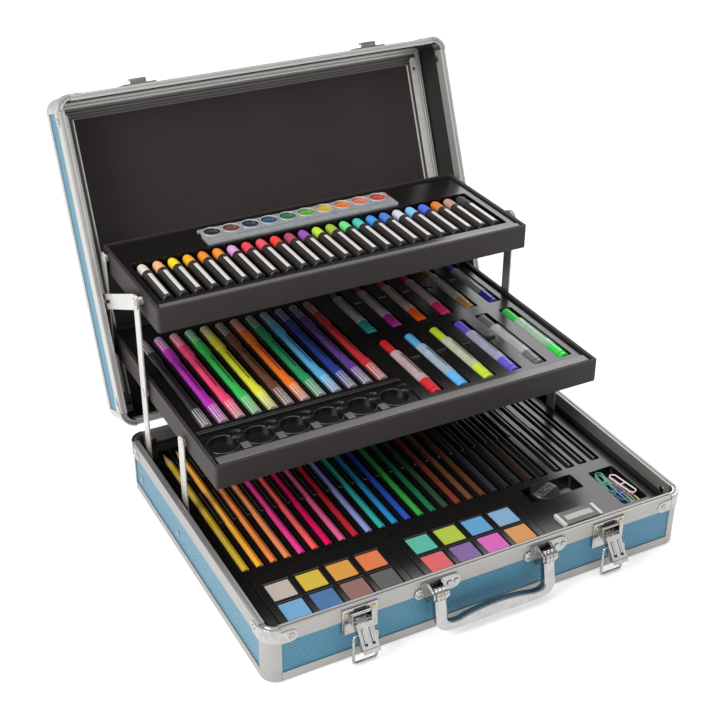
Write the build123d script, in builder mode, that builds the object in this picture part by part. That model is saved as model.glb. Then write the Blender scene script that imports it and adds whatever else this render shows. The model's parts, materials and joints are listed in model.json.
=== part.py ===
from build123d import *
from math import atan2, cos, degrees, hypot, radians, sin
import os

# Metal art set case, standing open with its two trays raised, in millimetres.
# Origin at the centre of the underside, X to the right, Y to the back, Z up.
os.makedirs("parts", exist_ok=True)

# Case shell: base and lid are built alike, from the outer face up to the rim.
CASE_WIDTH = 368
CASE_DEPTH = 282
BASE_HEIGHT = 49.5
LID_HEIGHT = 44
RIM_GAP = 0.6
CORNER_RADIUS = 12
SKIN = 0.8
PANEL = 2
BOARD = 3.2
TRIM_HEIGHT = 8.7
TRIM_FOLD = 2
TRIM_LEG = 8
TRIM_JOINT = 0.2
RAIL_HEIGHT = 13
RAIL_WIDTH = 5
RAIL_WEB = 2
RAIL_LIP = 1
RAIL_LIP_HEIGHT = 11
GROOVE_INSET = 2
GROOVE_WIDTH = 1
GROOVE_DEPTH = 0.8
POST_LEG = 12.5

# Rim rivets: domed outside, flat inside, one each side of every corner.
RIVET_FROM_CORNER = 20
RIVET_DROP = 8.5
RIVET_RADIUS = 3
RIVET_DOME = 1
RIVET_TAPER = 35
SHANK_RADIUS = 1.5
RIVET_TAIL_RADIUS = 2.6
RIVET_TAIL = 0.7

# Lid hinge behind the back face, and the angle at which the lid rests open.
HINGE_Y = 146
HINGE_Z = 47.5
OPEN_ANGLE = 112
HINGE_X = 110
KNUCKLE = 7
KNUCKLE_GAP = 0.25
KNUCKLES = 5
BARREL_RADIUS = 2.6
HINGE_PIN_RADIUS = 1.2
LEAF = 1.4
BASE_LEAF_DROP = 18
LID_LEAF_RISE = 17.4

# Running fit of every pin, on the radius.
CLEARANCE = 0.05

# Side links. A pivot is given as (y, z) with the case open; L is one link length.
LINK_LENGTH = 84.5
LINK_WIDTH = 11.5
LINK_THICK = 1.2
REAR_LINK_THICK = 1
STAY_WIDTH = 13
STAY_THICK = 1
STAY_SLOT_WIDTH = 3.2
STAY_SLOT_START = 73
LONG_FOOT = (115, 19)
FRONT_FOOT = (32, 19)
REAR_Y = 200
LINK_LAYER = 174.5
REAR_LAYER = 172.8
STAY_LAYER = 176
LID_STUD = (32.6, 65.5)
PIVOT_RADIUS = 2
PIVOT_HEAD_RADIUS = 3.4
PIVOT_HEAD = 0.6
COLLAR_RADIUS = 3.4
LAYER_GAP = 0.1

# Trays: width, front and back edge, underside and rim.
MID_WIDTH = 344
MID_FRONT = -31
MID_BACK = 205.2
MID_BOTTOM = 98.1
MID_TOP = 118.2
UPPER_WIDTH = 340
UPPER_FRONT = 81
UPPER_BACK = 211
UPPER_BOTTOM = 174.4
UPPER_TOP = 195.3
TRAY_WALL = 3
TRAY_FLOOR = 2
TRAY_CORNER = 2.5

# Moulded inserts: a thin sheet with pockets formed down into it.
SHEET = 1.2
POCKET_WALL = 0.8
BASE_INSERT_TOP = 37
BASE_INSERT_WIDTH = 345
BASE_INSERT_DEPTH = 268
MID_INSERT_TOP = 115.5
UPPER_INSERT_TOP = 193.5
INSERT_GAP = 0.5
INSERT_CORNER = 6
POCKET_CORNER = 2

HALF_WIDTH = CASE_WIDTH / 2
HALF_DEPTH = CASE_DEPTH / 2
CLOSED_HEIGHT = BASE_HEIGHT + RIM_GAP + LID_HEIGHT
BOARD_INNER_X = HALF_WIDTH - SKIN - BOARD
SIDES = (("left", -1), ("right", 1))

# The lid's frame: its coordinates are those of the closed case, turned open about the hinge.
hinge_offset = Vector(0, -HINGE_Y, -HINGE_Z).rotate(Axis.X, -OPEN_ANGLE)
LID = Plane(
    origin=Vector(0, HINGE_Y, HINGE_Z) + hinge_offset,
    x_dir=(1, 0, 0),
    z_dir=Vector(0, 0, 1).rotate(Axis.X, -OPEN_ANGLE),
)
LID_SHELL = Plane(
    origin=LID.from_local_coords(Vector(0, 0, CLOSED_HEIGHT)),
    x_dir=LID.x_dir,
    z_dir=-LID.z_dir,
)


def outline(inset, mode=Mode.ADD):
    """Rounded outline of the case, drawn in by an inset."""
    RectangleRounded(
        CASE_WIDTH - 2 * inset,
        CASE_DEPTH - 2 * inset,
        CORNER_RADIUS - inset,
        mode=mode,
    )


def corner_wall(frame, low, high, outer_inset, inner_inset, leg, mode=Mode.ADD):
    """Rounded wall round each corner, between two insets and two heights of a shell frame."""
    with BuildSketch(frame.offset(low)) as profile:
        outline(outer_inset)
        outline(inner_inset, Mode.SUBTRACT)
        Rectangle(CASE_WIDTH - 2 * leg, CASE_DEPTH, mode=Mode.SUBTRACT)
        Rectangle(CASE_WIDTH, CASE_DEPTH - 2 * leg, mode=Mode.SUBTRACT)
    extrude(profile.sketch, amount=high - low, mode=mode)


def wall_sections(frame):
    """Section plane and half length of each wall: X runs inward, Y from the outer face to the rim."""
    sections = []
    for x, y, half_run in (
        (0, -HALF_DEPTH, HALF_WIDTH - CORNER_RADIUS),
        (0, HALF_DEPTH, HALF_WIDTH - CORNER_RADIUS),
        (-HALF_WIDTH, 0, HALF_DEPTH - CORNER_RADIUS),
        (HALF_WIDTH, 0, HALF_DEPTH - CORNER_RADIUS),
    ):
        outer = frame.from_local_coords(Vector(x, y, 0))
        inward = (frame.origin - outer).normalized()
        sections.append((Plane(origin=outer, x_dir=inward, z_dir=inward.cross(frame.z_dir)), half_run))
    return sections


def rivet_planes(frame, height):
    """Planes on the outer faces at the rim rivets, facing outward."""
    z = height - RIVET_DROP
    planes = []
    for x in (-1, 1):
        for y in (-1, 1):
            spots = (
                (Vector(x * (HALF_WIDTH - RIVET_FROM_CORNER), y * HALF_DEPTH, z), Vector(0, y, 0)),
                (Vector(x * HALF_WIDTH, y * (HALF_DEPTH - RIVET_FROM_CORNER), z), Vector(x, 0, 0)),
            )
            for spot, outward in spots:
                origin = frame.from_local_coords(spot)
                ahead = frame.from_local_coords(spot + outward)
                planes.append(Plane(origin=origin, z_dir=ahead - origin))
    return planes


def rivet_holes(frame, height):
    """Holes for the rim rivets, right through rail and board."""
    with BuildSketch(*rivet_planes(frame, height)) as profile:
        Circle(SHANK_RADIUS)
    extrude(profile.sketch, amount=-RAIL_WIDTH, mode=Mode.SUBTRACT)


def layer(side, distance):
    """Plane across one side of the case: its local X is Y, its local Y is Z."""
    return Plane.YZ.offset(side * distance)


def disc(side, centre, inner, outer, radius, mode=Mode.ADD):
    """Cylinder along X on one side, between two distances from the middle of the case."""
    with BuildSketch(layer(side, inner)) as profile:
        with Locations(centre):
            Circle(radius)
    extrude(profile.sketch, amount=side * (outer - inner), mode=mode)


def link_plate(side, layer_x, thick, start, end, width, mode=Mode.ADD):
    """Flat bar with round ends between two pivots."""
    run = (end[0] - start[0], end[1] - start[1])
    with BuildSketch(layer(side, layer_x)) as profile:
        with Locations(((start[0] + end[0]) / 2, (start[1] + end[1]) / 2)):
            SlotCenterToCenter(hypot(*run), width, rotation=degrees(atan2(run[1], run[0])))
    extrude(profile.sketch, amount=side * thick, mode=mode)


def tray_pin(side, pivot, tray_face, link_inner, head_inner):
    """Rivet fixed in a link: a shank in the tray wall, a collar between, a head outside."""
    disc(side, pivot, tray_face - TRAY_WALL + LAYER_GAP, head_inner, PIVOT_RADIUS)
    if link_inner - tray_face > 1:
        disc(side, pivot, tray_face + LAYER_GAP, link_inner, COLLAR_RADIUS)
    disc(side, pivot, head_inner, head_inner + PIVOT_HEAD, PIVOT_HEAD_RADIUS)


def foot_pin(side, pivot):
    """Rivet fixed in a link and running in the side board of the base."""
    link_outer = LINK_LAYER + LINK_THICK
    disc(side, pivot, LINK_LAYER - PIVOT_HEAD, LINK_LAYER, PIVOT_HEAD_RADIUS)
    disc(side, pivot, link_outer, BOARD_INNER_X - LAYER_GAP, COLLAR_RADIUS)
    disc(side, pivot, link_outer, HALF_WIDTH - SKIN - LAYER_GAP, PIVOT_RADIUS)


def open_box(width, front, back, bottom, top, wall, floor, corner):
    """Box without a top, drawn between a front and a back edge."""
    depth = back - front
    with BuildSketch(Plane.XY.offset(bottom)) as profile:
        with Locations((0, (front + back) / 2)):
            RectangleRounded(width, depth, corner)
    extrude(profile.sketch, amount=top - bottom)
    with BuildSketch(Plane.XY.offset(bottom + floor)) as profile:
        with Locations((0, (front + back) / 2)):
            RectangleRounded(width - 2 * wall, depth - 2 * wall, corner / 2)
    extrude(profile.sketch, amount=top - bottom - floor, mode=Mode.SUBTRACT)


def pocketed_sheet(x_range, y_range, top, floor, pockets):
    """Thin moulded sheet on a skirt; a pocket is (left, right, front, back, depth)."""
    left, right = x_range
    front, back = y_range
    for inset, mode in ((0, Mode.ADD), (SHEET, Mode.SUBTRACT)):
        with BuildSketch(Plane.XY.offset(floor)) as profile:
            with Locations(((left + right) / 2, (front + back) / 2)):
                RectangleRounded(right - left - 2 * inset, back - front - 2 * inset, INSERT_CORNER - inset)
        extrude(profile.sketch, amount=top - floor - inset, mode=mode)
    for grow, mode in ((POCKET_WALL, Mode.ADD), (0, Mode.SUBTRACT)):
        for x0, x1, y0, y1, depth in pockets:
            with BuildSketch(Plane.XY.offset(top)) as profile:
                with Locations(((x0 + x1) / 2, (y0 + y1) / 2)):
                    RectangleRounded(x1 - x0 + 2 * grow, y1 - y0 + 2 * grow, POCKET_CORNER + grow)
            extrude(profile.sketch, amount=-(depth + grow), mode=mode)


# Shell of the base and of the lid
for half, broad, frame, height, front in (
    ("base", "bottom", Plane.XY, BASE_HEIGHT, -1),
    ("lid", "top", LID_SHELL, LID_HEIGHT, 1),
):
    rim = height - RAIL_WEB
    lip = height - RAIL_LIP_HEIGHT
    rail_low = height - RAIL_HEIGHT
    upward = Axis(frame.origin, frame.z_dir)
    inner_floor = SKIN + PANEL

    # Broad panel, stepped at its edge so that its face lies flush with the edge trims
    with BuildPart() as broad_panel:
        with BuildSketch(frame.offset(SKIN)):
            outline(SKIN)
        extrude(amount=PANEL)
        fillet(broad_panel.faces().sort_by(upward)[0].edges(), TRIM_FOLD - SKIN)
        with BuildSketch(frame):
            outline(TRIM_LEG + LAYER_GAP)
        extrude(amount=SKIN)
    broad_panel.part.label = f"{half}_{broad}_panel"
    export_step(broad_panel.part, f"parts/{half}_{broad}_panel.step")

    # Wall boards, drilled for the rim rivets
    for wall, x, y in (("front", 0, front), ("back", 0, -front), ("left", -1, 0), ("right", 1, 0)):
        with BuildPart() as board:
            with BuildSketch(frame.offset(inner_floor)):
                with Locations((x * (BOARD_INNER_X + BOARD / 2), y * (HALF_DEPTH - SKIN - BOARD / 2))):
                    Rectangle(
                        BOARD if x else CASE_WIDTH - 2 * CORNER_RADIUS,
                        BOARD if y else CASE_DEPTH - 2 * CORNER_RADIUS,
                    )
            extrude(amount=rim - inner_floor)
            rivet_holes(frame, height)
            if half == "base" and x:
                for foot in (LONG_FOOT, FRONT_FOOT):
                    disc(x, foot, BOARD_INNER_X, HALF_WIDTH, PIVOT_RADIUS + CLEARANCE, Mode.SUBTRACT)
        board.part.label = f"{half}_{wall}_panel"
        export_step(board.part, f"parts/{half}_{wall}_panel.step")

    # Rim rails: channels over the edge of each board, with a groove along the rim
    with BuildPart() as rails:
        for section, half_run in wall_sections(frame):
            with BuildSketch(section):
                with BuildLine():
                    Polyline(
                        (0, rail_low),
                        (SKIN, rail_low),
                        (SKIN, rim),
                        (RAIL_WIDTH - RAIL_LIP, rim),
                        (RAIL_WIDTH - RAIL_LIP, lip),
                        (RAIL_WIDTH, lip),
                        (RAIL_WIDTH, height),
                        (GROOVE_INSET + GROOVE_WIDTH, height),
                        (GROOVE_INSET + GROOVE_WIDTH, height - GROOVE_DEPTH),
                        (GROOVE_INSET, height - GROOVE_DEPTH),
                        (GROOVE_INSET, height),
                        (0, height),
                        close=True,
                    )
                make_face()
            extrude(amount=half_run, both=True)
        rivet_holes(frame, height)
    rails.part.label = f"{half}_rails"
    export_step(rails.part, f"parts/{half}_rails.step")

    # Cast caps round the four rim corners
    with BuildPart() as corner_caps:
        corner_wall(frame, rail_low, height, 0, RAIL_WIDTH, CORNER_RADIUS)
        groove_end = GROOVE_INSET + GROOVE_WIDTH
        groove_low = height - GROOVE_DEPTH
        corner_wall(frame, groove_low, height, GROOVE_INSET, groove_end, CORNER_RADIUS, Mode.SUBTRACT)
    corner_caps.part.label = f"{half}_corner_caps"
    export_step(corner_caps.part, f"parts/{half}_corner_caps.step")

    # Rounded sheet posts down the corners
    with BuildPart() as corner_posts:
        corner_wall(frame, TRIM_HEIGHT, rail_low, 0, SKIN, POST_LEG)
    corner_posts.part.label = f"{half}_corner_posts"
    export_step(corner_posts.part, f"parts/{half}_corner_posts.step")

    # Brackets behind the posts, holding the boards together
    with BuildPart() as inner_brackets:
        corner_wall(frame, inner_floor, rail_low, SKIN, RAIL_WIDTH, CORNER_RADIUS)
    inner_brackets.part.label = f"{half}_inner_brackets"
    export_step(inner_brackets.part, f"parts/{half}_inner_brackets.step")

    # Folded trims along the outer edge, cut into four runs and four corner pieces
    with BuildPart() as edge_trims:
        with BuildSketch(frame):
            outline(0)
        extrude(amount=TRIM_HEIGHT)
        fillet(edge_trims.faces().sort_by(upward)[0].edges(), TRIM_FOLD)
        offset(amount=-SKIN, openings=edge_trims.faces().sort_by(upward)[-1])
        with BuildSketch(frame):
            outline(TRIM_LEG)
        extrude(amount=SKIN, mode=Mode.SUBTRACT)
        with BuildSketch(frame):
            with GridLocations(CASE_WIDTH - 2 * CORNER_RADIUS, 0, 2, 1):
                Rectangle(TRIM_JOINT, CASE_DEPTH)
            with GridLocations(0, CASE_DEPTH - 2 * CORNER_RADIUS, 1, 2):
                Rectangle(CASE_WIDTH, TRIM_JOINT)
        extrude(amount=TRIM_HEIGHT, mode=Mode.SUBTRACT)
    edge_trims.part.label = f"{half}_edge_trims"
    export_step(edge_trims.part, f"parts/{half}_edge_trims.step")

    # Rim rivets; the lid's node also holds the two short studs of the stays
    with BuildPart() as rivets:
        planes = rivet_planes(frame, height)
        with BuildSketch(*planes):
            Circle(SHANK_RADIUS)
        extrude(amount=-RAIL_WIDTH)
        with BuildSketch(*planes):
            Circle(RIVET_RADIUS)
        extrude(amount=RIVET_DOME, taper=RIVET_TAPER)
        with BuildSketch(*[plane.offset(-RAIL_WIDTH) for plane in planes]):
            Circle(RIVET_TAIL_RADIUS)
        extrude(amount=-RIVET_TAIL)
        if half == "lid":
            for side in (-1, 1):
                stud_plane = Plane(
                    origin=LID.from_local_coords(Vector(side * BOARD_INNER_X, *LID_STUD)),
                    z_dir=Vector(-side, 0, 0),
                )
                with BuildSketch(stud_plane):
                    Circle(PIVOT_RADIUS)
                extrude(amount=BOARD_INNER_X - STAY_LAYER - STAY_THICK - 2 * LAYER_GAP)
    rivets.part.label = f"{half}_rivets"
    export_step(rivets.part, f"parts/{half}_rivets.step")


# Lining sheet inside the lid
LINING = 0.4
LINING_INSET = 6.1
lining_face = CLOSED_HEIGHT - SKIN - PANEL - LINING
with BuildPart() as lid_lining:
    with BuildSketch(LID.offset(lining_face)):
        outline(LINING_INSET)
    extrude(amount=LINING)
lid_lining.part.label = "lid_lining"
export_step(lid_lining.part, "parts/lid_lining.step")

# Flat channels round three sides of the lining, open towards the trays
CHANNEL_INSET = 8
CHANNEL_WIDTH = 15
CHANNEL_WEB = 0.3
CHANNEL_LIP = 0.8
CHANNEL_LIP_WIDTH = 2.5
channel_outer_x = HALF_WIDTH - CHANNEL_INSET
channel_outer_y = HALF_DEPTH - CHANNEL_INSET


def channel_ring(inset):
    """Square-cornered strip round the left, front and right of the lid."""
    outer = CHANNEL_INSET + inset
    inner = CHANNEL_INSET + CHANNEL_WIDTH - inset
    Rectangle(CASE_WIDTH - 2 * outer, CASE_DEPTH - 2 * outer)
    with Locations((0, CHANNEL_WIDTH)):
        Rectangle(CASE_WIDTH - 2 * inner, CASE_DEPTH - 2 * inner + 2 * CHANNEL_WIDTH, mode=Mode.SUBTRACT)
    with Locations((0, channel_outer_y)):
        Rectangle(CASE_WIDTH - 2 * inner, 2 * CHANNEL_WIDTH, mode=Mode.SUBTRACT)


with BuildPart() as lid_channels:
    with BuildSketch(LID.offset(lining_face - CHANNEL_LIP)):
        channel_ring(0)
    extrude(amount=CHANNEL_LIP)
    with BuildSketch(LID.offset(lining_face - CHANNEL_LIP)):
        channel_ring(CHANNEL_LIP_WIDTH)
    extrude(amount=CHANNEL_LIP - CHANNEL_WEB, mode=Mode.SUBTRACT)
lid_channels.part.label = "lid_channels"
export_step(lid_channels.part, "parts/lid_channels.step")

# Flat bars lying in the two side channels, round-ended and drilled at the front
BAR_WIDTH = 6.5
BAR_THICK = 0.4
BAR_FRONT = -120
BAR_BACK = 112
BAR_HOLE_RADIUS = 1.6
BAR_HOLE_FROM_END = 10
with BuildPart() as lid_stay_bars:
    with BuildSketch(LID.offset(lining_face - CHANNEL_WEB - BAR_THICK)):
        for side in (-1, 1):
            bar_x = side * (channel_outer_x - CHANNEL_WIDTH / 2)
            with Locations((bar_x, (BAR_FRONT + BAR_BACK) / 2)):
                SlotOverall(BAR_BACK - BAR_FRONT, BAR_WIDTH, rotation=90)
            with Locations((bar_x, BAR_FRONT + BAR_HOLE_FROM_END)):
                Circle(BAR_HOLE_RADIUS, mode=Mode.SUBTRACT)
    extrude(amount=BAR_THICK)
lid_stay_bars.part.label = "lid_stay_bars"
export_step(lid_stay_bars.part, "parts/lid_stay_bars.step")

# Butt hinges: three knuckles on the base leaf, two on the lid leaf, one pin in each
hinge_length = KNUCKLES * KNUCKLE + (KNUCKLES - 1) * KNUCKLE_GAP
LEAF_GAP = 0.2
WEB_FLOOR = 2.3
WEB_EDGE = 0.9


def knuckles(frame, hinge_x, chosen, low, high, web_front):
    """Knuckles on the hinge axis, each with a short web reaching towards its leaf."""
    for index in chosen:
        x = hinge_x + (index - (KNUCKLES - 1) / 2) * (KNUCKLE + KNUCKLE_GAP)
        start = Plane(
            origin=frame.from_local_coords(Vector(x - KNUCKLE / 2, 0, 0)),
            x_dir=frame.y_dir,
            z_dir=frame.x_dir,
        )
        with BuildSketch(start) as profile:
            with Locations((HINGE_Y, HINGE_Z)):
                Circle(BARREL_RADIUS)
            with Locations(((web_front + HINGE_Y) / 2, HINGE_Z + (low + high) / 2)):
                Rectangle(HINGE_Y - web_front, high - low)
            with Locations((HINGE_Y, HINGE_Z)):
                Circle(HINGE_PIN_RADIUS + CLEARANCE, mode=Mode.SUBTRACT)
        extrude(profile.sketch, amount=KNUCKLE)


def leaf(frame, hinge_x, low, high):
    """Flat hinge leaf on the back face."""
    with BuildSketch(frame.offset(low)) as profile:
        with Locations((hinge_x, HALF_DEPTH + LEAF / 2)):
            Rectangle(hinge_length, LEAF)
    extrude(profile.sketch, amount=high - low)


with BuildPart() as hinge_base_leaves:
    for hinge_x in (-HINGE_X, HINGE_X):
        leaf(Plane.XY, hinge_x, HINGE_Z - WEB_EDGE - BASE_LEAF_DROP, HINGE_Z - WEB_EDGE)
        knuckles(Plane.XY, hinge_x, (0, 2, 4), -WEB_FLOOR, -WEB_EDGE, HALF_DEPTH + LEAF / 2)
        with BuildSketch(Plane.YZ.offset(hinge_x - hinge_length / 2)):
            with Locations((HINGE_Y, HINGE_Z)):
                Circle(HINGE_PIN_RADIUS)
        extrude(amount=hinge_length)
hinge_base_leaves.part.label = "hinge_base_leaves"
export_step(hinge_base_leaves.part, "parts/hinge_base_leaves.step")

lid_rim = BASE_HEIGHT + RIM_GAP
with BuildPart() as hinge_lid_leaves:
    for hinge_x in (-HINGE_X, HINGE_X):
        leaf(LID, hinge_x, lid_rim, lid_rim + LID_LEAF_RISE)
        with BuildSketch(LID.offset(HINGE_Z + WEB_EDGE)):
            with Locations((hinge_x, HALF_DEPTH + (LEAF + LEAF_GAP) / 2)):
                Rectangle(hinge_length, LEAF - LEAF_GAP)
        extrude(amount=lid_rim - HINGE_Z - WEB_EDGE)
        knuckles(LID, hinge_x, (1, 3), WEB_EDGE, WEB_FLOOR, HALF_DEPTH + LEAF / 2)
hinge_lid_leaves.part.label = "hinge_lid_leaves"
export_step(hinge_lid_leaves.part, "parts/hinge_lid_leaves.step")

# Catches on the lid: a plate with an upturned hook for the latch bail
LATCH_X = 110
CATCH_WIDTH = 29.5
CATCH_PLATE = 1.2
CATCH_LOW = 53.5
CATCH_HIGH = 67.5
HOOK_WIDTH = 14
HOOK_LOW = 56.5
HOOK_TIP = 63.5
HOOK_REACH = 5.5
HOOK_THICK = 1.4
with BuildPart() as lid_catches:
    for latch_x in (-LATCH_X, LATCH_X):
        with BuildSketch(LID.offset(CATCH_LOW)):
            with Locations((latch_x, -HALF_DEPTH - CATCH_PLATE / 2)):
                Rectangle(CATCH_WIDTH, CATCH_PLATE)
        extrude(amount=CATCH_HIGH - CATCH_LOW)
        hook_plane = Plane(
            origin=LID.from_local_coords(Vector(latch_x - HOOK_WIDTH / 2, -HALF_DEPTH, 0)),
            x_dir=-LID.y_dir,
            z_dir=-LID.x_dir,
        )
        with BuildSketch(hook_plane):
            with BuildLine():
                Polyline(
                    (CATCH_PLATE / 2, HOOK_LOW),
                    (HOOK_REACH - 1, HOOK_LOW),
                    (HOOK_REACH, HOOK_LOW + 1),
                    (HOOK_REACH, HOOK_TIP),
                    (HOOK_REACH - HOOK_THICK, HOOK_TIP),
                    (HOOK_REACH - HOOK_THICK, HOOK_LOW + 2 * HOOK_THICK),
                    (CATCH_PLATE / 2, HOOK_LOW + 2 * HOOK_THICK),
                    close=True,
                )
            make_face()
        extrude(amount=-HOOK_WIDTH)
lid_catches.part.label = "lid_catches"
export_step(lid_catches.part, "parts/lid_catches.step")

# Draw latches on the base: plate with two ears and a pivot pin
LATCH_PLATE_WIDTH = 29
LATCH_PLATE_LOW = 24.5
LATCH_PLATE_HIGH = 47.5
LATCH_PIVOT = (-145, 35.5)
EAR_INNER = 4.2
EAR_THICK = 1.2
EAR_RADIUS = 2
LEVER_WIDTH = 13.5
LEVER_FLANGE = 1.1
LATCH_PIN_RADIUS = 1
LATCH_PIN_HEAD = 1.6
PIN_HEAD_LENGTH = 0.5
plate_front = -HALF_DEPTH - CATCH_PLATE
with BuildPart() as latch_plates:
    for latch_x in (-LATCH_X, LATCH_X):
        with Locations((latch_x, plate_front + CATCH_PLATE / 2, (LATCH_PLATE_LOW + LATCH_PLATE_HIGH) / 2)):
            Box(LATCH_PLATE_WIDTH, CATCH_PLATE, LATCH_PLATE_HIGH - LATCH_PLATE_LOW)
        for ear_x in (-EAR_INNER - EAR_THICK, EAR_INNER):
            with BuildSketch(Plane.YZ.offset(latch_x + ear_x)):
                with Locations(LATCH_PIVOT):
                    Circle(EAR_RADIUS)
                with Locations(((LATCH_PIVOT[0] + plate_front) / 2, LATCH_PIVOT[1])):
                    Rectangle(plate_front - LATCH_PIVOT[0], 2 * EAR_RADIUS)
            extrude(amount=EAR_THICK)
        pin_end = LEVER_WIDTH / 2 + LAYER_GAP + PIN_HEAD_LENGTH
        for radius, start, length in (
            (LATCH_PIN_RADIUS, -pin_end, 2 * pin_end),
            (LATCH_PIN_HEAD, -pin_end, PIN_HEAD_LENGTH),
            (LATCH_PIN_HEAD, pin_end - PIN_HEAD_LENGTH, PIN_HEAD_LENGTH),
        ):
            with BuildSketch(Plane.YZ.offset(latch_x + start)):
                with Locations(LATCH_PIVOT):
                    Circle(radius)
            extrude(amount=length)
latch_plates.part.label = "latch_plates"
export_step(latch_plates.part, "parts/latch_plates.step")

# Latch levers hang out from their pivots, and each carries a wire bail that hangs straight down
LEVER_LEAN = 37
LEVER_LENGTH = 21
LEVER_BACK = 3.6
LEVER_EDGE = -1
LEVER_EYE = 2.2
BAIL_ON_LEVER = 9
BAIL_WIRE = 1.1
BAIL_HALF_WIDTH = 9.6
BAIL_DROP = 25.5
BAIL_BEND = 2.5
BAIL_STUB_END = 5
lean = radians(LEVER_LEAN)
bail_y = LATCH_PIVOT[0] - BAIL_ON_LEVER * sin(lean)
bail_z = LATCH_PIVOT[1] - BAIL_ON_LEVER * cos(lean)

for side_name, side in SIDES:
    latch_x = side * LATCH_X
    with BuildPart() as latch_lever:
        # The sketch's X runs down the lever and its Y faces outward.
        lever_plane = Plane(
            origin=(latch_x + LEVER_WIDTH / 2, *LATCH_PIVOT),
            x_dir=(0, -sin(lean), -cos(lean)),
            z_dir=(-1, 0, 0),
        )
        for flange_start in (0, LEVER_WIDTH - LEVER_FLANGE):
            with BuildSketch(lever_plane.offset(flange_start)):
                Circle(LEVER_EYE)
                with BuildLine():
                    Polyline(
                        (0, -LEVER_EYE),
                        (LEVER_LENGTH, LEVER_EDGE),
                        (LEVER_LENGTH, LEVER_BACK),
                        (1, LEVER_BACK),
                        (0, LEVER_EYE),
                        close=True,
                    )
                make_face()
            extrude(amount=LEVER_FLANGE)
        with BuildSketch(lever_plane):
            with Locations(((1 + LEVER_LENGTH) / 2, LEVER_BACK - LEVER_FLANGE / 2)):
                Rectangle(LEVER_LENGTH - 1, LEVER_FLANGE)
        extrude(amount=LEVER_WIDTH)
        with BuildSketch(lever_plane):
            Circle(LATCH_PIN_RADIUS + CLEARANCE)
            with Locations((BAIL_ON_LEVER, 0)):
                Circle(BAIL_WIRE + CLEARANCE)
        extrude(amount=LEVER_WIDTH, mode=Mode.SUBTRACT)
    latch_lever.part.label = f"latch_lever_{side_name}"
    export_step(latch_lever.part, f"parts/latch_lever_{side_name}.step")

    with BuildPart() as latch_bail:
        corners = []
        for end in (-1, 1):
            stub = [
                (latch_x + end * BAIL_STUB_END, bail_y, bail_z),
                (latch_x + end * BAIL_HALF_WIDTH, bail_y, bail_z),
                (latch_x + end * BAIL_HALF_WIDTH, bail_y, bail_z - BAIL_DROP),
            ]
            corners += stub if end < 0 else stub[::-1]
        with BuildLine() as wire_path:
            FilletPolyline(*corners, radius=BAIL_BEND)
        with BuildSketch(Plane(origin=corners[0], z_dir=(-1, 0, 0))):
            Circle(BAIL_WIRE)
        sweep(path=wire_path.line)
    latch_bail.part.label = f"latch_bail_{side_name}"
    export_step(latch_bail.part, f"parts/latch_bail_{side_name}.step")

# Handle brackets: plate with a round right end, two lugs, the pivot pin and two screws
HANDLE_X = 48
HANDLE_PIVOT = (-149, 39.5)
HANDLE_LEAN = 8
HANDLE_ARM = 9.5
HANDLE_THICK = 7
BRACKET_LOW = 34
BRACKET_HIGH = 47.5
BRACKET_LEFT = -11.5
BRACKET_RIGHT = 22.5
BRACKET_ROUND = 6.5
LUG_THICK = 1.8
LUG_GAP = 0.3
LUG_RADIUS = 4
LUG_LOW = 29.5
HANDLE_PIN = 1.5
SCREW_RADIUS = 2.4
SCREW_X = (12.5, 18.5)
plate_middle = (BRACKET_LOW + BRACKET_HIGH) / 2
with BuildPart() as handle_brackets:
    for arm_x in (-HANDLE_X, HANDLE_X):
        with BuildSketch(Plane.XZ.offset(HALF_DEPTH)) as bracket_plate:
            with Locations((arm_x + (BRACKET_LEFT + BRACKET_RIGHT) / 2, plate_middle)):
                Rectangle(BRACKET_RIGHT - BRACKET_LEFT, BRACKET_HIGH - BRACKET_LOW)
            fillet(bracket_plate.vertices().sort_by(Axis.X)[-2:], BRACKET_ROUND)
        extrude(amount=CATCH_PLATE)
        lug_inner = HANDLE_ARM / 2 + LUG_GAP
        for lug_x in (-lug_inner - LUG_THICK, lug_inner):
            with BuildSketch(Plane.YZ.offset(arm_x + lug_x)):
                with Locations(HANDLE_PIVOT):
                    Circle(LUG_RADIUS)
                with BuildLine():
                    Polyline(
                        (plate_front + CATCH_PLATE / 2, BRACKET_HIGH - 1),
                        (HANDLE_PIVOT[0], HANDLE_PIVOT[1] + LUG_RADIUS),
                        (HANDLE_PIVOT[0] - LUG_RADIUS, HANDLE_PIVOT[1]),
                        (HANDLE_PIVOT[0] - 1, HANDLE_PIVOT[1] - LUG_RADIUS),
                        (plate_front - 1, LUG_LOW),
                        (-HALF_DEPTH - LAYER_GAP, LUG_LOW),
                        (-HALF_DEPTH - LAYER_GAP, BRACKET_LOW),
                        (plate_front + CATCH_PLATE / 2, BRACKET_LOW),
                        close=True,
                    )
                make_face()
            extrude(amount=LUG_THICK)
        pin_half = lug_inner + LUG_THICK
        with BuildSketch(Plane.YZ.offset(arm_x - pin_half)):
            with Locations(HANDLE_PIVOT):
                Circle(HANDLE_PIN)
        extrude(amount=2 * pin_half)
        with BuildSketch(Plane.XZ.offset(-plate_front)):
            for screw_x in SCREW_X:
                with Locations((arm_x + screw_x, plate_middle)):
                    Circle(SCREW_RADIUS)
        extrude(amount=RIVET_DOME, taper=RIVET_TAPER)
handle_brackets.part.label = "handle_brackets"
export_step(handle_brackets.part, "parts/handle_brackets.step")

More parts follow.
